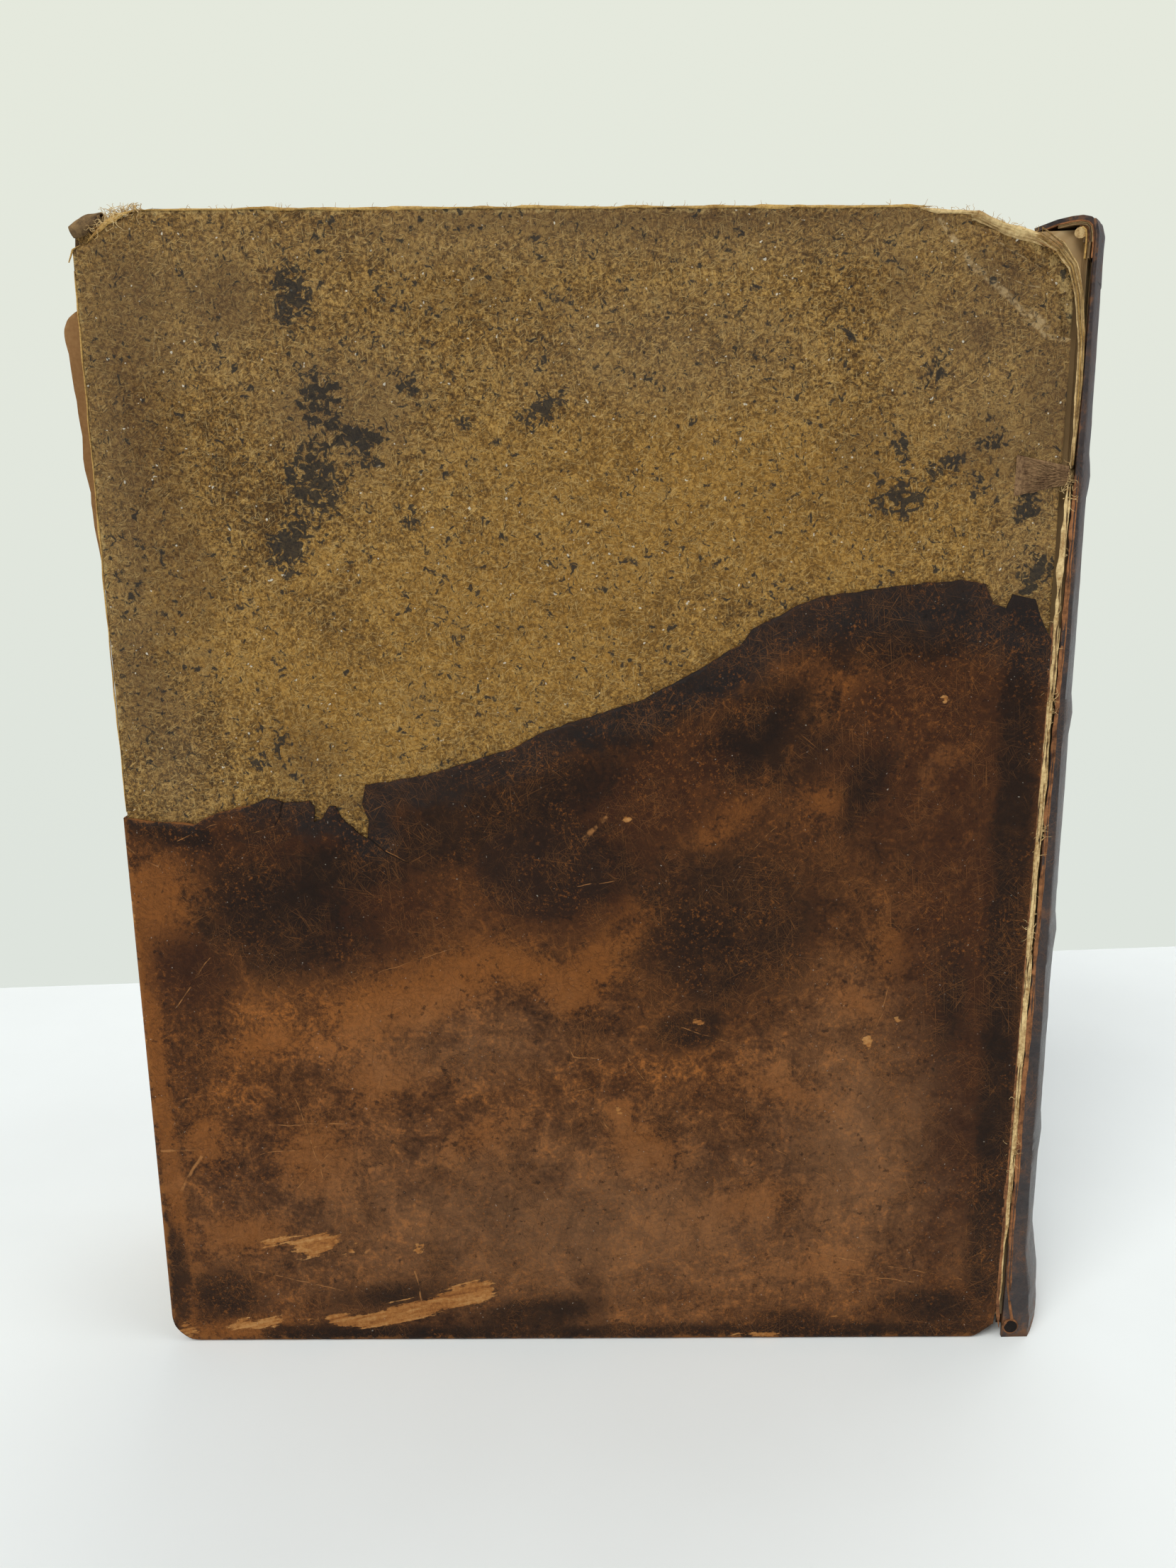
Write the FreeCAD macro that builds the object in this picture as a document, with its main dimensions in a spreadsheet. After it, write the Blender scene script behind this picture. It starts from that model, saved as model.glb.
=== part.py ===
import FreeCAD, Part
import math
import os

import Sketcher
from FreeCAD import Placement, Rotation, Vector

# Antique quarto book, standing on its tail with its lower board towards -Y.
# X runs from the fore-edge to the spine, Y from the lower to the upper cover,
# Z from tail to head. The origin is the middle of the foot of the whole book.

doc = FreeCAD.newDocument("antique_book")

# Driving sizes, in millimetres and degrees
SIZES = [
    ("board_height", 280.0),        # cover from tail to head, leather included
    ("board_width", 220.0),         # cover from fore-edge to joint, leather included
    ("board_thick", 3.5),           # pasteboard
    ("cover_leather", 0.8),         # leather on the boards
    ("turn_in_wide", 15.0),         # leather turned over onto the inner face
    ("turn_in_thick", 0.4),         # the same, pared thin
    ("paste_thick", 0.3),           # pastedown sheet
    ("paste_margin", 3.0),          # board left bare round the pastedown
    ("leaf_thick", 0.3),            # flyleaf
    ("leaf_gap", 0.3),              # air between flyleaf and pastedown
    ("block_thick", 52.0),          # pages, pressed together
    ("fore_square", 3.5),           # board standing past the pages at the fore-edge
    ("tail_square", 3.5),           # the same at the tail
    ("head_square", 5.0),           # the same at the head, where the pages have sunk
    ("fore_hollow", 4.5),           # depth of the hollow fore-edge
    ("back_rise", 9.0),             # height of the rounded back
    ("shoulder_out", 3.2),          # shoulder standing out beside the board's edge
    ("block_sag", 0.85),            # the pages have sunk forward by this angle
    ("joint_shift", 4.5),           # shoulder past the boards' edge, at the tail
    ("lining_thick", 0.4),          # paper panels on the back
    ("lining_gap", 0.5),            # panel short of each cord
    ("back_hollow", 0.6),           # air under the spine leather
    ("spine_leather", 1.0),         # leather of the spine
    ("spine_inset", 0.4),           # spine leather inside the boards' outer faces
    ("cap_short", 2.4),             # head cap lower than the boards
    ("cap_thick", 0.9),             # leather turned over the endbands
    ("cap_wide", 4.6),              # reach of these caps over the pages' back
    ("tail_swell", 2.4),            # spine leather pulled away at the tail
    ("swell_tall", 26.0),           # height of that swelling
    ("ridge_rise", 0.8),            # low ridge of the leather over each cord
    ("ridge_reach", 5.0),           # half height of a ridge
    ("lower_crack", 1.3),           # open crack in the lower joint
    ("upper_joint", 0.35),          # running gap in the upper joint
    ("cord_size", 3.0),             # sewing cords, across
    ("cord_count", 4.0),            # sewing cords, in number
    ("cord_first", 55.0),           # lowest cord above the tail
    ("cord_pitch", 56.0),           # from one cord to the next
    ("cord_sunk", 0.6),             # cord's centre below the back, in its kerf
    ("cord_clear", 0.1),            # air round a cord in its kerf
    ("band_size", 1.6),             # endbands, across
    ("band_reach", 21.0),           # half length of an endband across the back
    ("slip_long", 12.0),            # frayed cord end pasted to the board
    ("slip_root", 4.0),             # its width at the joint
    ("slip_fan", 9.0),              # its width where it fans out
    ("slip_thick", 0.5),            # its thickness, let into the board
    ("torn_ply", 1.9),              # plies torn away at the fore-edge head corner
    ("lost_ply", 1.2),              # plies worn away at the spine head corner
    ("loose_turn", 3.4),            # the loose flyleaf has turned by this angle
    ("loose_proud", 4.0),           # and stands past the board by this much
    ("loose_top", 260.0),           # height of its worn outer corner
    ("loose_corner", 6.0),          # radius of that corner
    ("tail_corner", 9.0),           # radius of the boards' worn fore-edge tail corners
    ("leaf_short", 1.0),            # flyleaf short of the shoulder
    ("leather_short", 1.0),         # lower leather ends short of the joint
    ("origin_x", 0.0),              # middle of the foot, set once the book is measured
]

sheet = doc.addObject("Spreadsheet::Sheet", "Sizes")
for row, (alias, number) in enumerate(SIZES, start=1):
    sheet.set("A%d" % row, alias)
    sheet.set("B%d" % row, "%g" % number)
    sheet.setAlias("B%d" % row, alias)
ORIGIN_CELL = "B%d" % len(SIZES)
doc.recompute()

# Planes that several pieces share, as formulas of the sheet
FORE = "(-Sizes.board_width / 2)"
JOINT = "(Sizes.board_width / 2)"
HALF_BLOCK = "(Sizes.block_thick / 2)"
LEAF_OUT = "(%s + Sizes.leaf_thick)" % HALF_BLOCK
PASTE_IN = "(%s + Sizes.leaf_gap)" % LEAF_OUT
BOARD_IN = "(%s + Sizes.paste_thick)" % PASTE_IN
BOARD_OUT = "(%s + Sizes.board_thick)" % BOARD_IN
COVER_OUT = "(%s + Sizes.cover_leather)" % BOARD_OUT
SHOULDER_HALF = "(%s + Sizes.shoulder_out)" % HALF_BLOCK
BLOCK_TOP = "(Sizes.board_height - Sizes.head_square)"
BLOCK_TALL = "(%s - Sizes.tail_square)" % BLOCK_TOP

# Outlines drawn by hand, as shares of the board's width from the fore-edge
# and of its height from the tail
TEAR_LINE = [
    (0.030, 0.514), (0.081, 0.511), (0.102, 0.521), (0.145, 0.528), (0.158, 0.533),
    (0.177, 0.529), (0.205, 0.531), (0.210, 0.526), (0.209, 0.513), (0.217, 0.515),
    (0.226, 0.526), (0.233, 0.526), (0.239, 0.514), (0.251, 0.507), (0.266, 0.496),
    (0.268, 0.513), (0.262, 0.528), (0.266, 0.545), (0.292, 0.547), (0.347, 0.556),
    (0.425, 0.575), (0.464, 0.591), (0.512, 0.603), (0.565, 0.616), (0.622, 0.640),
    (0.668, 0.662), (0.682, 0.675), (0.730, 0.695), (0.756, 0.702), (0.861, 0.712),
    (0.898, 0.714), (0.922, 0.711), (0.932, 0.695), (0.946, 0.691), (0.951, 0.702),
    (0.975, 0.698), (0.986, 0.677),
]
WORN_SPINE_HEAD = [
    (0.991, 0.890), (0.993, 0.948), (0.972, 0.964), (0.933, 0.978),
    (0.905, 0.987), (0.880, 0.993), (0.845, 0.994), (0.820, 0.998),
]
TORN_FORE_HEAD = [
    (0.085, 0.998), (0.045, 0.992), (0.022, 0.993), (0.006, 0.983),
]
TORN_PLY_LINE = [
    (0.085, 1.010), (0.060, 0.991), (0.041, 0.985), (0.020, 0.972), (-0.010, 0.966),
]
LOST_PLY_LINE = [
    (1.020, 0.895), (0.980, 0.902), (0.978, 0.925), (0.968, 0.943), (0.945, 0.957),
    (0.922, 0.962), (0.912, 0.978), (0.885, 0.983), (0.880, 1.010),
]
WORN_SPINE_TAIL = [(0.965, 0.000), (0.978, 0.006), (0.994, 0.016)]
CORNER_BULGE = 1 - math.sqrt(0.5)    # how far in a round corner's middle lies, by its radius

LOWER = -1
UPPER = 1


def size(alias):
    """Gives a size from the sheet."""
    return float(getattr(sheet, alias))


def number_of(owner, formula):
    """Works a formula out for one object of the document."""
    value = owner.evalExpression(formula)
    return float(getattr(value, "Value", value))


def new_body(label):
    """Starts a sub-part."""
    body = doc.addObject("PartDesign::Body", label)
    body.Label = label
    return body


def new_sketch(body, name, role, offset="0"):
    """Adds a sketch on one of the body's own planes, moved along its normal."""
    sketch = body.newObject("Sketcher::SketchObject", name)
    planes = [plane for plane in body.Origin.OriginFeatures if plane.Role == role]
    sketch.AttachmentSupport = [(planes[0], "")]
    sketch.MapMode = "FlatFace"
    sketch.setExpression("AttachmentOffset.Base.z", offset)
    return sketch


def pin_point(sketch, geometry, end, point, rules, formulas):
    """Ties one point of a sketch to a pair of formulas."""
    x_value = number_of(sketch, point[0])
    y_value = number_of(sketch, point[1])
    for kind, formula, value in (("DistanceX", point[0], x_value), ("DistanceY", point[1], y_value)):
        formulas.append((len(rules), formula))
        rules.append(Sketcher.Constraint(kind, -1, 1, geometry, end, value))


def draw_outline(sketch, corners, arcs=None):
    """Draws a closed outline through corners; arcs maps an edge to a point it passes."""
    arcs = arcs or {}
    places = [Vector(number_of(sketch, x), number_of(sketch, y), 0) for x, y in corners]
    rules = []
    formulas = []
    ends = []
    for index, start in enumerate(places):
        finish = places[(index + 1) % len(places)]
        if index in arcs:
            middle = Vector(number_of(sketch, arcs[index][0]), number_of(sketch, arcs[index][1]), 0)
            forward = (middle - start).cross(finish - middle).z > 0
            edge = Part.Arc(start, middle, finish) if forward else Part.Arc(finish, middle, start)
            number = sketch.addGeometry(edge, False)
            ends.append((number, 1, 2) if forward else (number, 2, 1))
        else:
            number = sketch.addGeometry(Part.LineSegment(start, finish), False)
            ends.append((number, 1, 2))
    for index, point in enumerate(corners):
        number, first, last = ends[index]
        before, before_first, before_last = ends[index - 1]
        rules.append(Sketcher.Constraint("Coincident", before, before_last, number, first))
        pin_point(sketch, number, first, point, rules, formulas)
    for index, point in arcs.items():
        middle = Vector(number_of(sketch, point[0]), number_of(sketch, point[1]), 0)
        number = sketch.addGeometry(Part.Point(middle), True)
        pin_point(sketch, number, 1, point, rules, formulas)
        rules.append(Sketcher.Constraint("PointOnObject", number, 1, ends[index][0]))
    sketch.addConstraint(rules)
    for number, formula in formulas:
        sketch.setExpression("Constraints[%d]" % number, formula)


def draw_box(sketch, left, bottom, right, top):
    """Draws a rectangle between four formulas."""
    draw_outline(sketch, [(left, bottom), (right, bottom), (right, top), (left, top)])


def draw_circle(sketch, x_formula, y_formula, radius):
    """Draws a circle whose centre and radius are formulas."""
    centre = Vector(number_of(sketch, x_formula), number_of(sketch, y_formula), 0)
    circle = Part.Circle(centre, Vector(0, 0, 1), number_of(sketch, radius))
    number = sketch.addGeometry(circle, False)
    rules = []
    formulas = []
    pin_point(sketch, number, 3, (x_formula, y_formula), rules, formulas)
    formulas.append((len(rules), radius))
    rules.append(Sketcher.Constraint("Radius", number, number_of(sketch, radius)))
    sketch.addConstraint(rules)
    for number, formula in formulas:
        sketch.setExpression("Constraints[%d]" % number, formula)


def add_pad(body, sketch, length, backwards=False):
    """Raises a sketch into a solid."""
    pad = body.newObject("PartDesign::Pad", sketch.Name + "_pad")
    pad.Profile = sketch
    pad.Reversed = backwards
    pad.setExpression("Length", length)
    return pad


def add_pocket(body, sketch, depth, backwards=False):
    """Cuts a sketch out of the body and makes sure that it took something away."""
    doc.recompute()
    before = body.Shape.Volume
    pocket = body.newObject("PartDesign::Pocket", sketch.Name + "_pocket")
    pocket.Profile = sketch
    pocket.Reversed = backwards
    pocket.setExpression("Length", depth)
    doc.recompute()
    if body.Shape.Volume >= before:
        raise ValueError("pocket cut nothing: " + pocket.Name)
    return pocket


def add_turned(body, sketch, kind, angle):
    """Turns a sketch about its own upright axis, to both sides of its plane."""
    doc.recompute()
    before = body.Shape.Volume if body.Tip else 0.0
    turned = body.newObject("PartDesign::" + kind, sketch.Name + "_turned")
    turned.Profile = sketch
    turned.ReferenceAxis = (sketch, ["V_Axis"])
    turned.Midplane = True
    turned.Angle = angle
    doc.recompute()
    grew = body.Shape.Volume > before
    if grew != (kind == "Revolution"):
        raise ValueError("turning changed nothing: " + turned.Name)
    return turned


def on_board(shares):
    """Turns shares of the board into formulas of its plane."""
    return [
        ("%s + %g * Sizes.board_width" % (FORE, x), "%g * Sizes.board_height" % z)
        for x, z in shares
    ]


def cord_height(index):
    """Formula of the height of one sewing cord, counted from the tail."""
    return "(Sizes.cord_first + %d * Sizes.cord_pitch)" % index


def signed(side, formula):
    """Sketch offset that puts a formula's distance on one side of the pages."""
    return formula if side == LOWER else "-" + formula


def corner_arc(left, bottom):
    """Worn round corner at the fore-edge and tail: its two ends and its middle."""
    upper = (left, bottom + " + Sizes.tail_corner")
    middle = tuple("%s + %g * Sizes.tail_corner" % (start, CORNER_BULGE) for start in (left, bottom))
    lower = (left + " + Sizes.tail_corner", bottom)
    return upper, middle, lower


# Covers

def slip_corners(index, clearance="0"):
    """Fan of one frayed cord end, from the joint onto the board."""
    height = cord_height(index)
    root = "(Sizes.slip_root / 2 + %s)" % clearance
    fan = "(Sizes.slip_fan / 2 + %s)" % clearance
    inner = "%s - Sizes.slip_long - %s" % (JOINT, clearance)
    return [
        (JOINT, "%s - %s" % (height, root)),
        (JOINT, "%s + %s" % (height, root)),
        (inner, "%s + %s" % (height, fan)),
        (inner, "%s - %s" % (height, fan)),
    ]


def make_board(name, side, outline, arcs):
    """Pasteboard with the rebate of the turn-ins and the beds of the cord ends."""
    body = new_body(name)
    face = new_sketch(body, name + "_face", "XZ_Plane", signed(side, BOARD_IN))
    draw_outline(face, outline, arcs)
    add_pad(body, face, "Sizes.board_thick", side == UPPER)
    for index in range(int(size("cord_count"))):
        bed = new_sketch(body, "%s_bed_%d" % (name, index + 1), "XZ_Plane", signed(side, BOARD_OUT))
        draw_outline(bed, slip_corners(index))
        add_pocket(body, bed, "Sizes.slip_thick", side == UPPER)
    return body


def cut_rebate(body, side, top):
    """Lets the turned-in leather into the inner face, up to a height."""
    rebate = new_sketch(body, body.Name + "_rebate", "XZ_Plane", signed(side, BOARD_IN))
    left = FORE + " - 1"
    inner_x = "%s + Sizes.cover_leather + Sizes.turn_in_wide" % FORE
    inner_z = "(Sizes.cover_leather + Sizes.turn_in_wide)"
    corners = [(left, "-1"), (JOINT + " + 1", "-1"), (JOINT + " + 1", inner_z), (inner_x, inner_z)]
    if top is None:
        high = "(Sizes.board_height - Sizes.cover_leather - Sizes.turn_in_wide)"
        corners += [(inner_x, high), (JOINT + " + 1", high)]
        corners += [(JOINT + " + 1", "Sizes.board_height + 1"), (left, "Sizes.board_height + 1")]
    else:
        corners += [(inner_x, top), (left, top)]
    draw_outline(rebate, corners)
    add_pocket(body, rebate, "Sizes.turn_in_thick", side == LOWER)


def lower_board():
    """Lower board, bare and worn above the tear in its leather."""
    left = FORE + " + Sizes.cover_leather"
    upper, middle, lower = corner_arc(left, "Sizes.cover_leather")
    outline = [upper, lower]
    for x_formula, z_formula in on_board(WORN_SPINE_TAIL):
        outline.append((x_formula, z_formula + " + Sizes.cover_leather"))
    outline.append((JOINT, "%g * Sizes.board_height" % (2 * WORN_SPINE_TAIL[-1][1])))
    outline += on_board(WORN_SPINE_HEAD)
    outline += on_board(TORN_FORE_HEAD)
    outline += [(left, "0.965 * Sizes.board_height")]
    body = make_board("lower_board", LOWER, outline, {0: middle})
    cut_rebate(body, LOWER, "%g * Sizes.board_height" % TEAR_LINE[0][1])
    head = "1.010 * Sizes.board_height"
    torn = new_sketch(body, "torn_fore_corner", "XZ_Plane", BOARD_OUT)
    draw_outline(torn, on_board(TORN_PLY_LINE) + [(FORE + " - 1", head)])
    add_pocket(body, torn, "Sizes.torn_ply")
    lost = new_sketch(body, "lost_spine_corner", "XZ_Plane", BOARD_OUT)
    draw_outline(lost, on_board(LOST_PLY_LINE) + [(JOINT + " + 3", head)])
    add_pocket(body, lost, "Sizes.lost_ply")
    return body


def upper_board():
    """Upper board, whole under its leather."""
    left = FORE + " + Sizes.cover_leather"
    top = "Sizes.board_height - Sizes.cover_leather"
    upper, middle, lower = corner_arc(left, "Sizes.cover_leather")
    outline = [upper, lower, (JOINT, "Sizes.cover_leather"), (JOINT, top), (left, top)]
    body = make_board("upper_board", UPPER, outline, {0: middle})
    cut_rebate(body, UPPER, None)
    return body


def lower_board_leather():
    """What is left of the lower board's leather, under the tear."""
    body = new_body("lower_board_leather")
    end = "%s - Sizes.leather_short" % JOINT
    upper, middle, lower = corner_arc(FORE, "0")
    face = new_sketch(body, "torn_leather", "XZ_Plane", BOARD_IN)
    outline = [upper, lower] + on_board(WORN_SPINE_TAIL)
    outline += [(end, "%g * Sizes.board_height" % (2 * WORN_SPINE_TAIL[-1][1]))]
    outline += [(end, "0.665 * Sizes.board_height")]
    outline += on_board(reversed(TEAR_LINE))
    outline += [(FORE, "0.517 * Sizes.board_height")]
    draw_outline(face, outline, {0: middle})
    thickness = "Sizes.board_thick + Sizes.cover_leather"
    add_pad(body, face, thickness)
    hollow_leather(body, LOWER, "Sizes.board_height + 1", "Sizes.board_height + 1")
    return body


def upper_board_leather():
    """Leather over the upper board, turned in on three sides."""
    body = new_body("upper_board_leather")
    upper, middle, lower = corner_arc(FORE, "0")
    face = new_sketch(body, "whole_leather", "XZ_Plane", signed(UPPER, BOARD_IN))
    outline = [upper, lower, (JOINT, "0"), (JOINT, "Sizes.board_height"), (FORE, "Sizes.board_height")]
    draw_outline(face, outline, {0: middle})
    add_pad(body, face, "Sizes.board_thick + Sizes.cover_leather", True)
    top = "Sizes.board_height - Sizes.cover_leather"
    hollow_leather(body, UPPER, top, top + " - Sizes.turn_in_wide")
    return body


def hollow_leather(body, side, room_top, window_top):
    """Takes the board's room and the window between the turn-ins out of the leather."""
    left = FORE + " + Sizes.cover_leather"
    upper, middle, lower = corner_arc(left, "Sizes.cover_leather")
    shelf = "(%s + Sizes.turn_in_thick)" % BOARD_IN
    room = new_sketch(body, body.Name + "_room", "XZ_Plane", signed(side, BOARD_OUT))
    past = JOINT + " + 1"
    draw_outline(
        room,
        [upper, lower, (past, "Sizes.cover_leather"), (past, room_top), (left, room_top)],
        {0: middle},
    )
    add_pocket(body, room, "%s - %s" % (BOARD_OUT, shelf), side == UPPER)
    window = new_sketch(body, body.Name + "_window", "XZ_Plane", signed(side, shelf))
    inner_x = left + " + Sizes.turn_in_wide"
    draw_box(window, inner_x, "Sizes.cover_leather + Sizes.turn_in_wide", past, window_top)
    add_pocket(body, window, "Sizes.turn_in_thick", side == UPPER)


def pastedown(name, side):
    """Endpaper sheet pasted over the turn-ins."""
    body = new_body(name)
    sheet_face = new_sketch(body, name + "_face", "XZ_Plane", signed(side, PASTE_IN))
    head = "0.960 * Sizes.board_height" if side == LOWER else "Sizes.board_height - Sizes.paste_margin"
    draw_box(
        sheet_face,
        FORE + " + Sizes.paste_margin",
        "Sizes.paste_margin",
        "0.985 * Sizes.board_width - Sizes.board_width / 2",
        head,
    )
    add_pad(body, sheet_face, "Sizes.paste_thick", side == UPPER)
    return body


def cord_slip(name, side, index):
    """One frayed cord end in its bed on the board."""
    body = new_body(name)
    fan = new_sketch(body, name + "_fan", "XZ_Plane", signed(side, BOARD_OUT))
    draw_outline(fan, slip_corners(index))
    add_pad(body, fan, "Sizes.slip_thick", side == LOWER)
    return body


# Pages and back. These sit in the pages' own frame: x = 0 is the shoulder and
# the whole frame leans by block_sag.

BACK_RADIUS = "((%s ^ 2 + Sizes.back_rise ^ 2) / (2 * Sizes.back_rise))" % SHOULDER_HALF
BACK_CENTRE = "(Sizes.back_rise - %s)" % BACK_RADIUS
SPINE_INNER = "(%s + Sizes.lining_thick + Sizes.back_hollow)" % BACK_RADIUS
SPINE_OUTER = "(%s + Sizes.spine_leather)" % SPINE_INNER
SPINE_HALF = "(%s - Sizes.spine_inset)" % COVER_OUT
CORD_RADIUS = "(%s - Sizes.cord_sunk)" % BACK_RADIUS


def back_x(radius, half):
    """Formula of where a circle about the back's centre crosses a distance from the middle."""
    return "(%s + sqrt(%s ^ 2 - %s ^ 2))" % (BACK_CENTRE, radius, half)


def turn_angle(half, radius):
    """Angle in degrees that an arc across the back spans."""
    ratio = number_of(sheet, half) / number_of(sheet, radius)
    return 2 * math.degrees(math.asin(ratio))


def back_ring(body, name, kind, height, ring, radius, half):
    """Turns a circle along the rounded back, as a ring or as a kerf."""
    sketch = new_sketch(body, name, "XZ_Plane")
    sketch.setExpression("AttachmentOffset.Base.x", BACK_CENTRE)
    draw_circle(sketch, ring, height, radius)
    return add_turned(body, sketch, kind, turn_angle(half, ring))


def text_block():
    """Pages pressed together: hollow fore-edge, shoulders, rounded back, cord kerfs."""
    body = new_body("text_block")
    section = new_sketch(body, "page_section", "XY_Plane", "Sizes.tail_square")
    fore = "(-Sizes.board_width + Sizes.fore_square)"
    corners = [
        (fore, "-" + HALF_BLOCK),
        ("0", "-" + HALF_BLOCK),
        ("0", "-" + SHOULDER_HALF),
        ("0", SHOULDER_HALF),
        ("0", HALF_BLOCK),
        (fore, HALF_BLOCK),
    ]
    arcs = {2: ("Sizes.back_rise", "0"), 5: ("%s + Sizes.fore_hollow" % fore, "0")}
    draw_outline(section, corners, arcs)
    add_pad(body, section, BLOCK_TALL)
    for index in range(int(size("cord_count"))):
        back_ring(body, "kerf_%d" % (index + 1), "Groove", cord_height(index), CORD_RADIUS,
                  "Sizes.cord_size / 2 + Sizes.cord_clear", "(%s + Sizes.cord_size)" % SHOULDER_HALF)
    return body


def sewing_cord(index):
    """One sewing cord, lying round the back from shoulder to shoulder."""
    name = "sewing_cord_%d" % (index + 1)
    body = new_body(name)
    back_ring(body, name + "_ring", "Revolution", cord_height(index), CORD_RADIUS,
              "Sizes.cord_size / 2", "(%s - Sizes.cord_size / 2)" % SHOULDER_HALF)
    return body


def endband(name, height):
    """Sewn endband on the pages' end, along the back."""
    body = new_body(name)
    ring = "(%s - Sizes.band_size)" % BACK_RADIUS
    back_ring(body, name + "_ring", "Revolution", height, ring, "Sizes.band_size / 2",
              "Sizes.band_reach")
    return body


def spine_lining(index):
    """One paper panel pasted on the back, between two cords."""
    name = "spine_lining_%d" % (index + 1)
    body = new_body(name)
    edge = "(Sizes.cord_size / 2 + Sizes.lining_gap)"
    count = int(size("cord_count"))
    low = "Sizes.tail_square" if index == 0 else "%s + %s" % (cord_height(index - 1), edge)
    high = BLOCK_TOP if index == count else "%s - %s" % (cord_height(index), edge)
    section = new_sketch(body, name + "_section", "XY_Plane", low)
    outer = "(%s + Sizes.lining_thick)" % BACK_RADIUS
    half = "(%s - Sizes.shoulder_out)" % SHOULDER_HALF
    corners = [
        (back_x(outer, half), "-" + half),
        (back_x(outer, half), half),
        (back_x(BACK_RADIUS, half), half),
        (back_x(BACK_RADIUS, half), "-" + half),
    ]
    arcs = {0: ("Sizes.back_rise + Sizes.lining_thick", "0"), 2: ("Sizes.back_rise", "0")}
    draw_outline(section, corners, arcs)
    add_pad(body, section, "(%s) - (%s)" % (high, low))
    return body


# Sections of the spine leather: height, share of the tail swelling, share of a ridge.
# Its foot is raised just enough for the leaning edge to clear the shelf.
SPINE_TOP = "(Sizes.board_height - Sizes.cap_short)"
SPINE_FOOT = "(Sizes.joint_shift * tan(Sizes.block_sag * 1 deg))"
RIDGE_STEPS = [(-1.0, 0.0), (-0.5, 0.6), (0.0, 1.0), (0.5, 0.6), (1.0, 0.0)]


def spine_sections():
    """Lists the sections of the spine leather from the tail to the head."""
    sections = [(SPINE_FOOT, 1.0, 0.0)]
    sections += [("0.5 * Sizes.swell_tall", 0.85, 0.0), ("Sizes.swell_tall", 0.1, 0.0)]
    for index in range(int(size("cord_count"))):
        for step, rise in RIDGE_STEPS:
            sections.append(("(%s + %g * Sizes.ridge_reach)" % (cord_height(index), step), 0.1, rise))
    sections.append((SPINE_TOP, 0.0, 0.0))
    return sections


def spine_edge(height, clearance):
    """Where the leather ends beside the boards at a height, in the leaning frame."""
    return "(%s - Sizes.joint_shift + (%s) * tan(Sizes.block_sag * 1 deg))" % (clearance, height)


def spine_leather():
    """Leather of the spine: a hollow back, swollen at the tail, raised over the cords."""
    body = new_body("spine_leather")
    sketches = []
    inner_half = "(%s - Sizes.spine_leather)" % SPINE_HALF
    outer_x = back_x(SPINE_OUTER, SPINE_HALF)
    inner_x = back_x(SPINE_INNER, inner_half)
    for number, (height, swelling, ridge) in enumerate(spine_sections()):
        swell = "(%g * Sizes.tail_swell)" % swelling
        section = new_sketch(body, "spine_section_%d" % (number + 1), "XY_Plane", height)
        low_edge = spine_edge(height, "Sizes.lower_crack")
        high_edge = spine_edge(height, "Sizes.upper_joint")
        corners = [
            (low_edge, "-" + SPINE_HALF),
            ("%s + %s" % (outer_x, swell), "-" + SPINE_HALF),
            (outer_x, SPINE_HALF),
            (high_edge, SPINE_HALF),
            (high_edge, inner_half),
            (inner_x, inner_half),
            ("%s + %s" % (inner_x, swell), "-" + inner_half),
            (low_edge, "-" + inner_half),
        ]
        crown = "%s + %s + %s + %g * Sizes.ridge_rise" % (BACK_CENTRE, SPINE_OUTER, swell, ridge)
        arcs = {1: (crown, "0"), 5: (crown + " - Sizes.spine_leather", "0")}
        draw_outline(section, corners, arcs)
        sketches.append(section)
    loft = body.newObject("PartDesign::AdditiveLoft", "spine_shell")
    loft.Profile = sketches[0]
    loft.Sections = sketches[1:]
    loft.Ruled = True
    doc.recompute()
    turn_over_cap(body, "tail_cap", SPINE_FOOT, "Sizes.tail_swell", False)
    turn_over_cap(body, "head_cap", SPINE_TOP, "0", True)
    return body


def turn_over_cap(body, name, height, swell, downwards):
    """Turns the spine leather's end over the endband, towards the pages' back."""
    cap = new_sketch(body, name, "XY_Plane", height)
    inner = "(%s - Sizes.cap_wide)" % BACK_RADIUS
    outer = "(%s + Sizes.spine_leather / 2)" % SPINE_INNER
    half = "(%s - Sizes.leaf_short)" % HALF_BLOCK
    corners = [
        (back_x(inner, half), "-" + half),
        (back_x(outer, half) + " + " + swell, "-" + half),
        (back_x(outer, half), half),
        (back_x(inner, half), half),
    ]
    arcs = {
        1: ("%s + %s + %s" % (BACK_CENTRE, outer, swell), "0"),
        3: ("%s + %s" % (BACK_CENTRE, inner), "0"),
    }
    draw_outline(cap, corners, arcs)
    add_pad(body, cap, "Sizes.cap_thick", downwards)


def flyleaf():
    """Upper flyleaf, flush with the pages."""
    body = new_body("upper_flyleaf")
    face = new_sketch(body, "flyleaf_face", "XZ_Plane", signed(UPPER, HALF_BLOCK))
    draw_box(face, "-Sizes.board_width + Sizes.fore_square", "Sizes.tail_square",
             "-Sizes.leaf_short", BLOCK_TOP)
    add_pad(body, face, "Sizes.leaf_thick", True)
    return body


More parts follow.
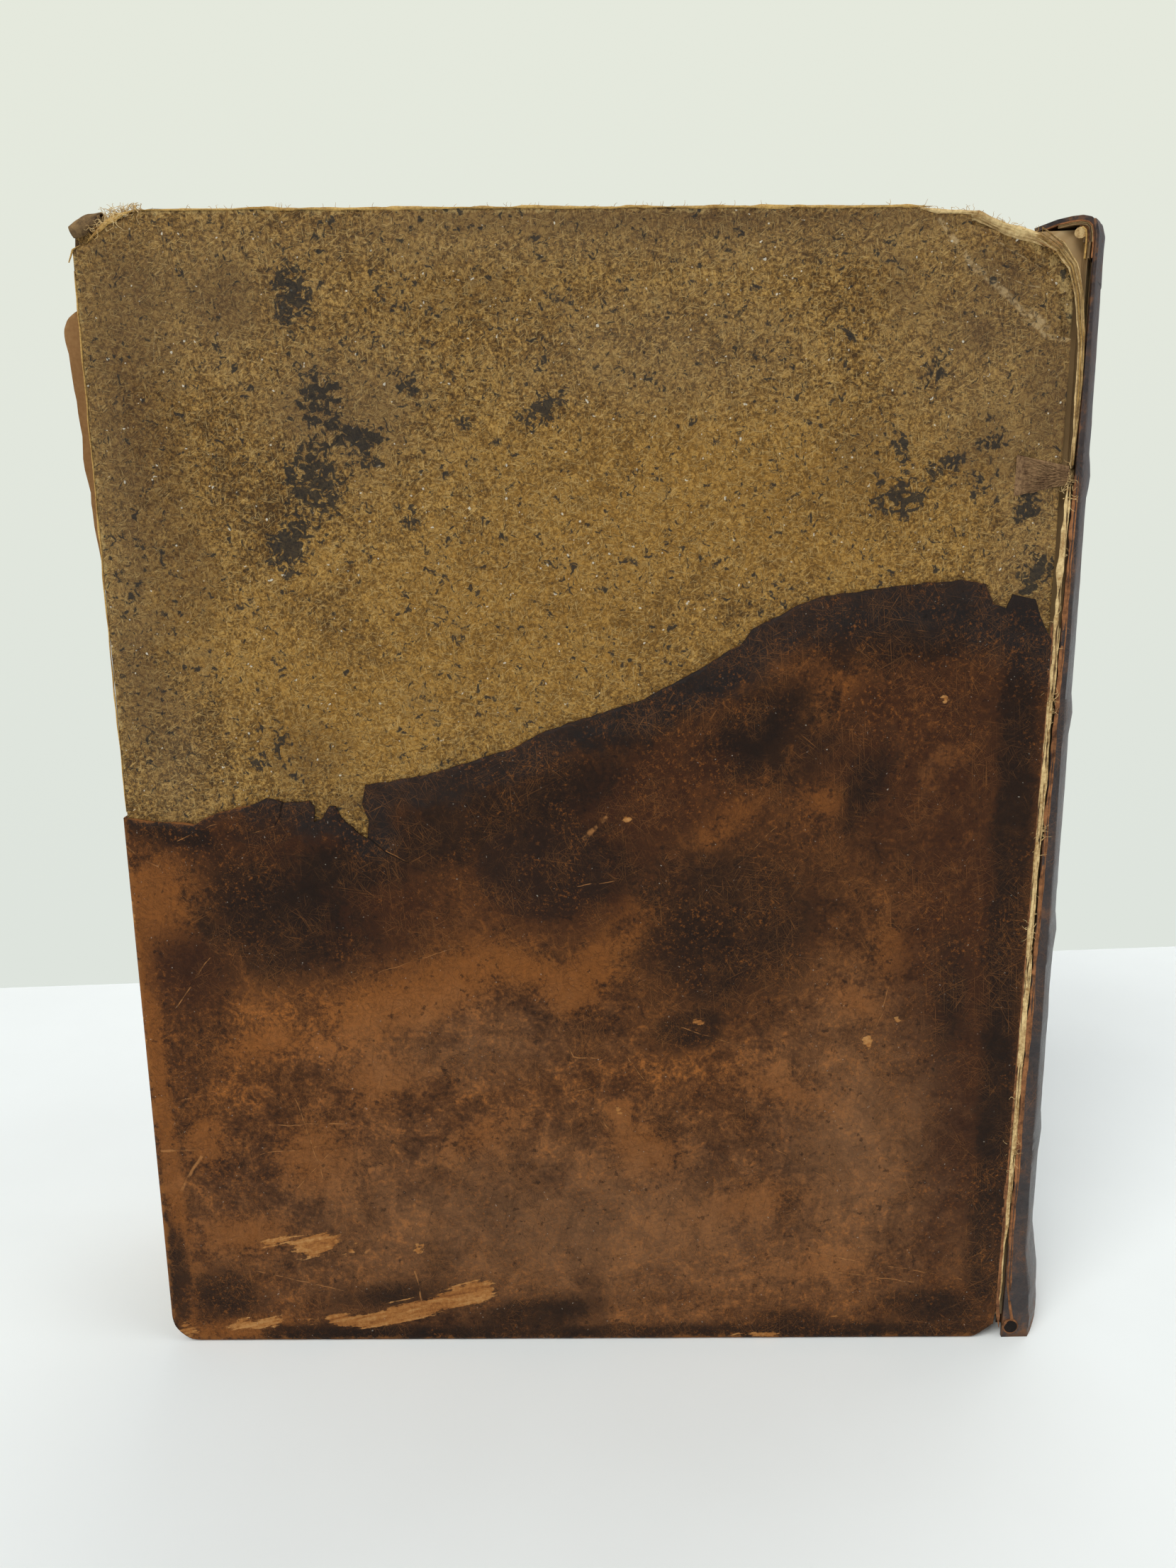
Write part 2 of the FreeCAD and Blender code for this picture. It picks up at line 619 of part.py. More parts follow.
def loose_flyleaf():
    """Lower flyleaf, come loose: it has turned and stands out at the fore-edge."""
    body = new_body("lower_flyleaf")
    face = new_sketch(body, "loose_face", "XZ_Plane", HALF_BLOCK)
    lean = "tan(Sizes.loose_turn * 1 deg)"
    outer = "(%s - Sizes.loose_proud)" % FORE
    right = "(%s - Sizes.fore_square)" % JOINT
    foot = "Sizes.tail_square"
    top_left = "(%s + Sizes.loose_corner)" % outer
    corners = [
        ("%s + (Sizes.loose_top - Sizes.loose_corner - %s) * %s" % (outer, foot, lean), foot),
        (outer, "Sizes.loose_top - Sizes.loose_corner"),
        (top_left, "Sizes.loose_top"),
        (right, "Sizes.loose_top + (%s - %s) * %s" % (right, top_left, lean)),
        (right, foot),
    ]
    bulge = "%g * Sizes.loose_corner" % CORNER_BULGE
    arcs = {1: ("%s + %s" % (outer, bulge), "Sizes.loose_top - " + bulge)}
    draw_outline(face, corners, arcs)
    add_pad(body, face, "Sizes.leaf_thick")
    return body


LEANING = [text_block(), flyleaf()]
LEANING.append(endband("head_endband", BLOCK_TOP + " + Sizes.band_size / 2"))
LEANING.append(endband("tail_endband", "Sizes.tail_square - Sizes.band_size / 2"))
for cord in range(int(size("cord_count"))):
    LEANING.append(sewing_cord(cord))
for panel in range(int(size("cord_count")) + 1):
    LEANING.append(spine_lining(panel))
LEANING.append(spine_leather())

UPRIGHT = [loose_flyleaf(), lower_board(), lower_board_leather(), upper_board(), upper_board_leather()]
UPRIGHT.append(pastedown("lower_pastedown", LOWER))
UPRIGHT.append(pastedown("upper_pastedown", UPPER))
for cord in range(int(size("cord_count"))):
    UPRIGHT.append(cord_slip("lower_cord_slip_%d" % (cord + 1), LOWER, cord))
    UPRIGHT.append(cord_slip("upper_cord_slip_%d" % (cord + 1), UPPER, cord))

# Every piece stands in the book's frame; the pages' own pieces lean about the joint
for part in UPRIGHT:
    part.setExpression("Placement.Base.x", "-Sizes.origin_x")
for part in LEANING:
    part.Placement = Placement(Vector(0, 0, 0), Rotation(Vector(0, -1, 0), size("block_sag")))
    part.setExpression("Placement.Rotation.Angle", "Sizes.block_sag * 1 deg")
    part.setExpression("Placement.Base.x", JOINT + " + Sizes.joint_shift - Sizes.origin_x")
doc.recompute()

# The origin goes to the middle of the whole book's foot
whole = FreeCAD.BoundBox()
for part in LEANING + UPRIGHT:
    whole.add(part.Shape.optimalBoundingBox())
sheet.set(ORIGIN_CELL, "%.3f" % whole.Center.x)
doc.recompute()

for item in doc.Objects:
    if "Invalid" in item.State or "Error" in item.State:
        raise ValueError("failed: %s %s" % (item.Name, item.State))

os.makedirs("parts", exist_ok=True)
for part in LEANING + UPRIGHT:
    shape = part.Shape
    if shape.isNull() or not shape.isValid():
        raise ValueError("bad shape: " + part.Label)
    shape.exportStep("parts/%s.step" % part.Label)
    box = shape.optimalBoundingBox()
    print("%-22s solids %d volume %.1f  x %.2f..%.2f  y %.2f..%.2f  z %.2f..%.2f" % (
        part.Label, len(shape.Solids), shape.Volume,
        box.XMin, box.XMax, box.YMin, box.YMax, box.ZMin, box.ZMax))
print("origin_x %.3f" % size("origin_x"))
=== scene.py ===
"""An old family book in torn calf over pasteboard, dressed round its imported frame."""

import logging
import math
import random
from collections.abc import Callable, Iterable, Sequence
from dataclasses import dataclass
from enum import Enum
from typing import ClassVar

import bmesh
import bpy
import numpy as np
from mathutils import Matrix, Vector, noise


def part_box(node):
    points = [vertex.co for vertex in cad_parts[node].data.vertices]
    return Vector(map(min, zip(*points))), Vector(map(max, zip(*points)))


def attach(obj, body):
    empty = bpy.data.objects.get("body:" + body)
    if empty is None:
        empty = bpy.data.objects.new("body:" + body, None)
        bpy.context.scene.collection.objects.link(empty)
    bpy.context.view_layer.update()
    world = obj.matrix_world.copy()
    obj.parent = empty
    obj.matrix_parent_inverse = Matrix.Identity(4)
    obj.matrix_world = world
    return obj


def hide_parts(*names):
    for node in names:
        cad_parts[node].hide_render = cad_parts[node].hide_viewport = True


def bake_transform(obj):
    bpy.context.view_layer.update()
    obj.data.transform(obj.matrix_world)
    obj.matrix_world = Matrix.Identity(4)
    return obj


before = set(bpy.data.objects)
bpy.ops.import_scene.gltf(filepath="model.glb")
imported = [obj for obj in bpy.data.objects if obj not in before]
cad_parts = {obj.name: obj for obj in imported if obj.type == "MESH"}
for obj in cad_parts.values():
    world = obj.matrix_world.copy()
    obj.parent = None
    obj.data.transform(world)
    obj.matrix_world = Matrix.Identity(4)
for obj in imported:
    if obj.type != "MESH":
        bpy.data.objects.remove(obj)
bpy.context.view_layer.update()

log = logging.getLogger("book")
MM = 0.001
MERGE = 2e-6
FLAT_ANGLE = 0.01
FORE_X = -117.0  # fore-edge of the covers, in millimetres
HEAD_Z = 280.0  # head of the covers
NEAREST_Y = -31.4  # no loose fibre comes nearer than this
TALLEST_Z = 280.4  # nor stands higher
Point = tuple[float, float]
Rgb = tuple[int, int, int]
Lines = tuple[tuple[Point, Point, float], ...]


class Body(Enum):
    """The bodies of the frame that a piece can ride on."""

    PAGES = "pages"
    LOWER = "lower_cover"
    UPPER = "upper_cover"


class Axis(Enum):
    """The frame's axes: across the board, through the book, and up."""

    ACROSS = 0
    THROUGH = 1
    UP = 2


# ---- mesh helpers


def copy_node(node: str, flat: bool = True) -> bmesh.types.BMesh:
    """Copies a CAD node's mesh with its corners merged.

    Args:
        node: name of the CAD node.
        flat: joins the triangles of each flat face into one.

    Returns:
        A new bmesh in the frame's metres.
    """
    bm = bmesh.new()
    bm.from_mesh(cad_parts[node].data)
    bmesh.ops.remove_doubles(bm, verts=bm.verts, dist=MERGE)
    if flat:
        bmesh.ops.dissolve_limit(bm, angle_limit=FLAT_ANGLE, verts=bm.verts, edges=bm.edges)
    return bm


def cut(bm: bmesh.types.BMesh, axis: Axis, places: Iterable[float]) -> None:
    """Cuts a mesh across with planes square to an axis.

    Args:
        bm: the mesh to cut.
        axis: the axis that the planes are square to.
        places: where each plane stands, in metres.
    """
    normal = Vector((0, 0, 0))
    normal[axis.value] = 1
    for place in places:
        geom = bm.verts[:] + bm.edges[:] + bm.faces[:]
        bmesh.ops.bisect_plane(bm, geom=geom, dist=1e-6, plane_co=normal * place, plane_no=normal)


def spaced(low: float, high: float, step: float) -> list[float]:
    """Evenly spaced places strictly between two ends.

    Args:
        low: the lower end.
        high: the upper end.
        step: the wanted spacing.

    Returns:
        The places, without the ends.
    """
    count = max(1, round((high - low) / step))
    return [low + (high - low) * i / count for i in range(1, count)]


def round_box(bm: bmesh.types.BMesh, low: Vector, high: Vector, radius: float) -> None:
    """Eases the outer edges of a boxy mesh to a radius.

    Args:
        bm: the mesh, already cut near its edges.
        low: lowest corner of its box.
        high: highest corner of its box.
        radius: the edge radius.
    """
    for v in bm.verts:
        core = Vector(min(max(v.co[k], low[k] + radius), high[k] - radius) for k in range(3))
        off = v.co - core
        if off.length > radius:
            v.co = core + off.normalized() * radius


def edge_cuts(low: float, high: float, radius: float) -> list[float]:
    """Places beside both ends where a rounded edge needs its rows of corners."""
    steps = [radius * share for share in (0.12, 0.4, 0.95)]
    return [low + s for s in steps] + [high - s for s in steps]


def wobble(place: Vector, size: float, seed: float) -> float:
    """Smooth noise from -1 to 1 whose lumps are about the given size."""
    return noise.noise(place / size + Vector((seed, seed * 1.7, -seed)))


def placed(name: str, data: bpy.types.ID) -> bpy.types.Object:
    """A new object of some data, put into the scene."""
    thing = bpy.data.objects.new(name, data)
    bpy.context.scene.collection.objects.link(thing)
    return thing


def make_piece(
    bm: bmesh.types.BMesh,
    name: str,
    body: Body | None,
    material: bpy.types.Material,
    crease: float = 45,
) -> bpy.types.Object:
    """Turns a bmesh into a finished piece that rides on a body.

    Args:
        bm: the mesh, freed here.
        name: the piece's name.
        body: the body that it rides on, or None for a piece that rides on none.
        material: its finish.
        crease: edges sharper than this many degrees stay sharp.

    Returns:
        The new object.
    """
    mesh = bpy.data.meshes.new(name)
    bm.to_mesh(mesh)
    bm.free()
    mesh.polygons.foreach_set("use_smooth", [True] * len(mesh.polygons))
    mesh.set_sharp_from_angle(angle=math.radians(crease))
    mesh.materials.append(material)
    piece = placed(name, mesh)
    if body:
        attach(piece, body.value)
    log.info("%s: %d faces", name, len(mesh.polygons))
    return piece


def sweep(
    bm: bmesh.types.BMesh,
    path: Sequence[Vector],
    wide: Callable[[int], float],
    thick: Callable[[int], float],
    across: Vector,
    sides: int = 6,
) -> None:
    """Draws one closed strand along a path by extruding a round end.

    Args:
        bm: the mesh that it is added to.
        path: the points that it follows.
        wide: half width at a point, along the across direction.
        thick: half thickness at a point.
        across: the direction of the width.
        sides: sides of its section.
    """
    made = bmesh.ops.create_circle(bm, cap_ends=True, segments=sides, radius=1.0)
    verts = made["verts"]
    face = verts[0].link_faces[0]
    last = Matrix.Identity(4)
    for i, point in enumerate(path):
        ahead = path[min(i + 1, len(path) - 1)] - path[max(i - 1, 0)]
        z_axis = ahead.normalized()
        x_axis = (across - z_axis * across.dot(z_axis)).normalized()
        y_axis = z_axis.cross(x_axis)
        turn = Matrix((x_axis, y_axis, z_axis)).transposed().to_4x4()
        size = Matrix.Diagonal((max(wide(i), 1e-6), max(thick(i), 1e-6), 1.0, 1.0))
        here = Matrix.Translation(point) @ turn @ size
        if i:
            grown = bmesh.ops.extrude_face_region(bm, geom=[face])["geom"]
            verts = [g for g in grown if isinstance(g, bmesh.types.BMVert)]
            face = next(g for g in grown if isinstance(g, bmesh.types.BMFace))
        bmesh.ops.transform(bm, matrix=here @ last.inverted(), verts=verts)
        last = here


@dataclass(frozen=True)
class Ribbon:
    """A torn ply or flesh edge along a line of points, in millimetres on the board's face."""

    line: tuple[Point, ...]
    depth: float
    half: float
    thick: float = 0.25
    out: float = 0.0
    taper: float = 1.0
    seed: float = 0.0

    ROW: ClassVar[float] = 1.1

    def draw(self, bm: bmesh.types.BMesh) -> None:
        """Adds the ribbon to a mesh."""
        rows = self.rows()
        last = len(rows) - 1
        turns = [
            (rows[min(i + 1, last)] - rows[max(i - 1, 0)]).normalized() for i in range(last + 1)
        ]
        path = []
        for i, (row, way) in enumerate(zip(rows, turns)):
            outward = Vector((way.z, 0, -way.x)) if way.z > 0 else Vector((-way.z, 0, way.x))
            share = i / (len(rows) - 1)
            off = self.out * (1 - (1 - self.taper) * share)
            spot = Vector((self.seed * 9, 0, i * self.ROW))
            off += 0.26 * wobble(spot, 13, 1) + 0.16 * wobble(spot, 3.6, 2)
            lift = Vector((0, 0.1 * wobble(spot, 6, 5), 0))
            path.append((row + outward * off + lift) * MM)

        def half_wide(i: int) -> float:
            """Half width at a row, thin at both ends."""
            spot = Vector((self.seed * 5, 3, i * self.ROW))
            end = min(1.0, i / 4 + 0.1, (len(rows) - 1 - i) / 4 + 0.1)
            return MM * self.half * end * max(
                0.15, 1 + 0.8 * wobble(spot, 7, 3) + 0.6 * wobble(spot, 2.2, 4)
            )

        sweep(bm, path, lambda i: self.thick * MM, half_wide, Vector((0, 1, 0)))

    def rows(self) -> list[Vector]:
        """Points about a millimetre apart along the line."""
        rows = []
        for (ax, az), (bx, bz) in zip(self.line, self.line[1:]):
            count = max(2, round(math.hypot(bx - ax, bz - az) / self.ROW))
            for i in range(count):
                x, z = ax + (bx - ax) * i / count, az + (bz - az) * i / count
                rows.append(Vector((x, self.depth, z)))
        return rows


def ribbons(
    name: str, parts: Sequence[Ribbon], body: Body, material: bpy.types.Material
) -> bpy.types.Object:
    """Makes one piece of several torn ribbons.

    Args:
        name: the piece's name.
        parts: the ribbons.
        body: the body that they ride on.
        material: their finish.

    Returns:
        The new object.
    """
    bm = bmesh.new()
    for part in parts:
        part.draw(bm)
    bmesh.ops.recalc_face_normals(bm, faces=bm.faces)
    return make_piece(bm, name, body, material, 60)


def tangle(
    draw: random.Random,
    roots: Sequence[Vector],
    reach: float,
    lift: Vector,
    curl: float,
    steps: int = 5,
) -> list[list[Vector]]:
    """Loose fibres that wander off from their roots.

    Args:
        draw: the seeded random source.
        roots: where each fibre starts, in millimetres.
        reach: length of one step.
        lift: the direction that they lean in.
        curl: how much they turn at a step.
        steps: steps of a fibre.

    Returns:
        The control points of each fibre, in metres.
    """
    paths = []
    for root in roots:
        way = Vector([lift[k] + draw.gauss(0, 0.7) for k in range(3)])
        way.y *= 0.25
        points = [root.copy()]
        for _ in range(steps):
            way += Vector((draw.gauss(0, curl), draw.gauss(0, curl * 0.25), draw.gauss(0, curl)))
            way.normalize()
            points.append(points[-1] + way * reach)
        for point in points:
            point.y = min(max(point.y, NEAREST_Y), root.y + 2.5)
            point.z = min(point.z, TALLEST_Z)
        paths.append([point * MM for point in points])
    return paths


def along(line: Sequence[Point], count: int, depth: Point, draw: random.Random) -> list[Vector]:
    """Random places on a line of points, in millimetres.

    Args:
        line: the corners of the line.
        count: how many places.
        depth: nearest and farthest place through the book.
        draw: the seeded random source.

    Returns:
        The places.
    """
    found = []
    for _ in range(count):
        i = draw.randrange(len(line) - 1)
        share = draw.random()
        x, z = (line[i][k] * (1 - share) + line[i + 1][k] * share for k in (0, 1))
        found.append(Vector((x, draw.uniform(*depth), z)))
    return found


def strands(
    name: str,
    paths: Sequence[Sequence[Vector]],
    radius: float,
    body: Body,
    material: bpy.types.Material,
) -> bpy.types.Object:
    """Makes a tuft of fine fibres from smooth curves that thin towards their ends.

    Args:
        name: the piece's name.
        paths: the control points of each fibre.
        radius: radius at a fibre's root.
        body: the body that they ride on.
        material: their finish.

    Returns:
        The new object.
    """
    curve = bpy.data.curves.new(name, "CURVE")
    curve.dimensions = "3D"
    curve.bevel_depth = radius
    curve.bevel_resolution = 0
    curve.resolution_u = 3
    curve.use_fill_caps = True
    for path in paths:
        spline = curve.splines.new("NURBS")
        spline.points.add(len(path) - 1)
        for i, point in enumerate(path):
            spline.points[i].co = (*point, 1)
            spline.points[i].radius = 1.0 - 0.65 * i / (len(path) - 1)
        spline.order_u = 3
        spline.use_endpoint_u = True
    holder = placed(name + "_line", curve)
    bpy.context.view_layer.update()
    drawn = bpy.data.meshes.new_from_object(
        holder.evaluated_get(bpy.context.evaluated_depsgraph_get())
    )
    bm = bmesh.new()
    bm.from_mesh(drawn)
    bpy.data.objects.remove(holder)
    bpy.data.curves.remove(curve)
    bpy.data.meshes.remove(drawn)
    return make_piece(bm, name, body, material)


# ---- placed marks


@dataclass(frozen=True)
class Blot:
    """A patch on a cover, as an ellipse in millimetres on the board's face."""

    x: float
    z: float
    wide: float
    tall: float
    turn: float = 0.0
    full: float = 1.0

    def reach(self, x: np.ndarray, z: np.ndarray) -> np.ndarray:
        """Distance from the middle as a share of the patch's own size."""
        a = math.radians(self.turn)
        u = (x - self.x) * math.cos(a) + (z - self.z) * math.sin(a)
        v = (z - self.z) * math.cos(a) - (x - self.x) * math.sin(a)
        return np.hypot(u / self.wide, v / self.tall)


@dataclass(frozen=True)
class Stroke:
    """A band on a cover along a line of points, in millimetres."""

    points: tuple[Point, ...]
    half: float
    full: float = 1.0

    def reach(self, x: np.ndarray, z: np.ndarray) -> np.ndarray:
        """Distance from the line as a share of the band's half width."""
        return line_distance(x, z, self.points) / self.half


Marks = tuple[Blot | Stroke, ...]


def line_distance(x: np.ndarray, z: np.ndarray, points: Sequence[Point]) -> np.ndarray:
    """Distance to a line of points.

    Args:
        x: places across, in millimetres.
        z: heights, in millimetres.
        points: the corners of the line.

    Returns:
        The distance of each place from the line.
    """
    best = np.full(len(x), 1e9)
    for (ax, az), (bx, bz) in zip(points, points[1:]):
        long = max((bx - ax) ** 2 + (bz - az) ** 2, 1e-9)
        share = np.clip(((x - ax) * (bx - ax) + (z - az) * (bz - az)) / long, 0, 1)
        best = np.minimum(best, np.hypot(x - ax - share * (bx - ax), z - az - share * (bz - az)))
    return best


def paint(piece: bpy.types.Object, name: str, values: np.ndarray) -> None:
    """Stores one number per corner of a piece, for its material to read."""
    attribute = piece.data.attributes.new(name, "FLOAT", "POINT")
    attribute.data.foreach_set("value", np.clip(values, 0, 1).astype(np.float32))


def places(piece: bpy.types.Object) -> np.ndarray:
    """All of a piece's corners, in millimetres."""
    co = np.empty(len(piece.data.vertices) * 3)
    piece.data.vertices.foreach_get("co", co)
    return co.reshape(-1, 3) / MM


def face_places(bm: bmesh.types.BMesh) -> tuple[np.ndarray, np.ndarray]:
    """Places across and heights of a bmesh's corners, in millimetres."""
    co = np.array([(v.co.x, v.co.z) for v in bm.verts]) / MM
    return co[:, 0], co[:, 1]


def marked(co: np.ndarray, marks: Sequence[Blot | Stroke]) -> np.ndarray:
    """How deep each place lies in the nearest mark: 1 in its middle, 0.5 at its edge."""
    best = np.zeros(len(co))
    for mark in marks:
        best = np.maximum(best, mark.full - mark.reach(co[:, 0], co[:, 2]) / 2)
    return best


# ---- materials


def tone(rgb: Rgb) -> tuple[float, float, float, float]:
    """A colour as seen, 0 to 255, in the linear light that nodes take."""
    shares = [c / 255 for c in rgb]
    return (*[s / 12.92 if s <= 0.04045 else ((s + 0.055) / 1.055) ** 2.4 for s in shares], 1.0)


Socket = bpy.types.NodeSocket
Value = bpy.types.NodeSocket | float


class Nodes:
    """Lays out one material's nodes."""

    def __init__(self, name: str) -> None:
        """Starts an empty material of that name."""
        self.material = bpy.data.materials.new(name)
        self.material.use_nodes = True
        self.tree = self.material.node_tree
        self.tree.nodes.clear()
        self.coords = self.add("ShaderNodeTexCoord").outputs["Object"]

    def add(self, kind: str, **settings: object) -> bpy.types.Node:
        """Adds a node and sets its own properties."""
        node = self.tree.nodes.new(kind)
        for key, value in settings.items():
            setattr(node, key, value)
        return node

    def feed(self, socket: Socket, value: object) -> None:
        """Links a socket to another, or sets its plain value."""
        if isinstance(value, bpy.types.NodeSocket):
            self.tree.links.new(value, socket)
        else:
            socket.default_value = value

    def place(self, scale: Sequence[float], turn: float = 0.0) -> Socket:
        """Object coordinates turned in the board's plane, in degrees, and scaled."""
        turned = self.add("ShaderNodeVectorRotate", rotation_type="Y_AXIS")
        self.feed(turned.inputs["Vector"], self.coords)
        turned.inputs["Angle"].default_value = math.radians(turn)
        node = self.add("ShaderNodeVectorMath", operation="MULTIPLY")
        self.feed(node.inputs[0], turned.outputs["Vector"])
        node.inputs[1].default_value = scale
        return node.outputs[0]

    def noise(
        self,
        size: float,
        detail: float = 4,
        rough: float = 0.55,
        warp: float = 0,
        vector: Socket | None = None,
    ) -> Socket:
        """Noise whose lumps are about a size in millimetres.

        Args:
            size: size of a lump, without effect where a scaled vector is given.
            detail: octaves.
            rough: strength of the finer octaves.
            warp: distortion.
            vector: coordinates other than the object's own.

        Returns:
            The socket of the value, 0 to 1.
        """
        node = self.add("ShaderNodeTexNoise")
        self.feed(node.inputs["Vector"], vector or self.coords)
        node.inputs["Scale"].default_value = 1.0 if vector else 1000 / size
        node.inputs["Detail"].default_value = detail
        node.inputs["Roughness"].default_value = rough
        node.inputs["Distortion"].default_value = warp
        return node.outputs["Fac"]

    def cells(self, size: float) -> Socket:
        """Distance to the middle of cells of a size in millimetres."""
        node = self.add("ShaderNodeTexVoronoi")
        self.feed(node.inputs["Vector"], self.coords)
        node.inputs["Scale"].default_value = 1000 / size
        return node.outputs["Distance"]

    def field(self, name: str) -> Socket:
        """The numbers painted on a piece under that name."""
        return self.add("ShaderNodeAttribute", attribute_name=name).outputs["Fac"]

    def math(self, operation: str, a: Value, b: Value = 0.0, c: Value = 0.0) -> Socket:
        """One step of arithmetic."""
        node = self.add("ShaderNodeMath", operation=operation)
        for socket, value in zip(node.inputs, (a, b, c)):
            self.feed(socket, value)
        return node.outputs[0]

    def step(self, value: Value, low: float, high: float, top: float = 1.0) -> Socket:
        """A smooth step from 0 to top as the value goes from low to high."""
        node = self.add("ShaderNodeMapRange", interpolation_type="SMOOTHSTEP")
        for key, number in (
            ("From Min", low), ("From Max", high), ("To Min", 0.0), ("To Max", top)
        ):
            node.inputs[key].default_value = number
        self.feed(node.inputs["Value"], value)
        return node.outputs["Result"]

    def mask(self, name: str, ragged: Sequence[tuple[Socket, float]], soft: float = 0.08) -> Socket:
        """A painted mark with a ragged edge.

        Args:
            name: the painted field.
            ragged: noises and how far each moves the edge.
            soft: half the width of the edge, in the field's own measure.

        Returns:
            1 inside the mark and 0 outside it.
        """
        total = self.field(name)
        for source, amount in ragged:
            total = self.math("MULTIPLY_ADD", self.math("SUBTRACT", source, 0.5), amount, total)
        return self.step(total, 0.5 - soft, 0.5 + soft)

    def ramp(self, value: Socket, stops: Sequence[tuple[float, Rgb]]) -> Socket:
        """Colours along a value."""
        node = self.add("ShaderNodeValToRGB")
        line = node.color_ramp.elements
        while len(line) < len(stops):
            line.new(0.5)
        for element, (place, colour) in zip(line, stops):
            element.position = place
            element.color = tone(colour)
        self.feed(node.inputs["Fac"], value)
        return node.outputs["Color"]

    def blend(self, share: Value, under: Socket | Rgb, over: Socket | Rgb) -> Socket:
        """Mixes a colour over another by a share."""
        node = self.add("ShaderNodeMix", data_type="RGBA", blend_type="MIX")
        self.feed(node.inputs[0], share)
        for index, colour in ((6, under), (7, over)):
            self.feed(node.inputs[index], tone(colour) if isinstance(colour, tuple) else colour)
        return node.outputs[2]

    def over(self, under: Socket, mask: Socket, share: float, colour: Socket | Rgb) -> Socket:
        """Lays a colour over another where a mask is, by a share."""
        return self.blend(self.math("MULTIPLY", mask, share), under, colour)

    def flecks(self, long: float, wide: float, turn: float, low: float, high: float) -> Socket:
        """Short straight flecks in the board's plane.

        Args:
            long: length of a fleck in millimetres.
            wide: its width.
            turn: its direction in degrees.
            low: noise at which a fleck starts.
            high: noise at which it is full.

        Returns:
            1 on a fleck.
        """
        scale = (1000 / long, 1000 / max(wide, 0.5), 1000 / wide)
        grain = self.noise(1, 1.5, 0.5, 0.15, self.place(scale, turn))
        return self.step(grain, low, high)

    def line(self, coords: Socket, start: Point, end: Point, half: float) -> Socket:
        """A fine straight mark between two points of the board's face, in millimetres."""
        a = Vector((start[0], 0, start[1])) * MM
        b = Vector((end[0], 0, end[1])) * MM
        along = b - a
        off = self.add("ShaderNodeVectorMath", operation="SUBTRACT")
        self.feed(off.inputs[0], coords)
        off.inputs[1].default_value = a
        dot = self.add("ShaderNodeVectorMath", operation="DOT_PRODUCT")
        self.feed(dot.inputs[0], off.outputs[0])
        dot.inputs[1].default_value = along / along.length_squared
        share = self.math("MINIMUM", self.math("MAXIMUM", dot.outputs["Value"], 0.0), 1.0)
        near = self.add("ShaderNodeVectorMath", operation="SCALE")
        near.inputs[0].default_value = along
        self.feed(near.inputs["Scale"], share)
        gap = self.add("ShaderNodeVectorMath", operation="DISTANCE")
        self.feed(gap.inputs[0], off.outputs[0])
        self.feed(gap.inputs[1], near.outputs[0])
        node = self.add("ShaderNodeMapRange", interpolation_type="SMOOTHSTEP")
        for key, number in (("From Min", half * MM), ("From Max", half * MM * 0.3)):
            node.inputs[key].default_value = number
        self.feed(node.inputs["Value"], gap.outputs["Value"])
        return node.outputs["Result"]

    def face_coords(self, shake: float) -> Socket:
        """Object coordinates pressed flat on the board's face and shaken by some millimetres."""
        flat = self.add("ShaderNodeVectorMath", operation="MULTIPLY")
        self.feed(flat.inputs[0], self.coords)
        flat.inputs[1].default_value = (1, 0, 1)
        lump = self.add("ShaderNodeTexNoise")
        self.feed(lump.inputs["Vector"], self.coords)
        lump.inputs["Scale"].default_value = 180
        shift = self.add("ShaderNodeVectorMath", operation="MULTIPLY_ADD")
        self.feed(shift.inputs[0], lump.outputs["Color"])
        shift.inputs[1].default_value = (shake * MM, 0, shake * MM)
        self.feed(shift.inputs[2], flat.outputs[0])
        back = self.add("ShaderNodeVectorMath", operation="SUBTRACT")
        self.feed(back.inputs[0], shift.outputs[0])
        back.inputs[1].default_value = (shake * MM / 2, 0, shake * MM / 2)
        return back.outputs[0]

    def most(self, parts: Sequence[Socket]) -> Value:
        """The largest of several values, or 0 when there are none."""
        total: Value = 0.0
        for part in parts:
            total = self.math("MAXIMUM", part, total)
        return total

    def sum(self, parts: Sequence[tuple[Socket, float]]) -> Socket:
        """Adds up values, each times its weight."""
        total: Value = 0.0
        for source, weight in parts:
            total = self.math("MULTIPLY_ADD", source, weight, total)
        return total

    def close(
        self,
        colour: Socket,
        rough: Value,
        height: Socket,
        deep: float,
        gloss: float = 0.5,
        sheen: float = 0.0,
    ) -> bpy.types.Material:
        """Ends the material in its surface.

        Args:
            colour: base colour.
            rough: roughness.
            height: height of the relief, 0 to 1.
            deep: depth of the relief in millimetres.
            gloss: specular level.
            sheen: weight of a dusty sheen.

        Returns:
            The finished material.
        """
        bump = self.add("ShaderNodeBump")
        bump.inputs["Strength"].default_value = 1.0
        bump.inputs["Distance"].default_value = deep * MM
        self.feed(bump.inputs["Height"], height)
        surface = self.add("ShaderNodeBsdfPrincipled")
        self.feed(surface.inputs["Base Color"], colour)
        self.feed(surface.inputs["Roughness"], rough)
        self.feed(surface.inputs["Normal"], bump.outputs["Normal"])
        surface.inputs["Specular IOR Level"].default_value = gloss
        surface.inputs["Sheen Weight"].default_value = sheen
        out = self.add("ShaderNodeOutputMaterial")
        self.tree.links.new(surface.outputs["BSDF"], out.inputs["Surface"])
        return self.material


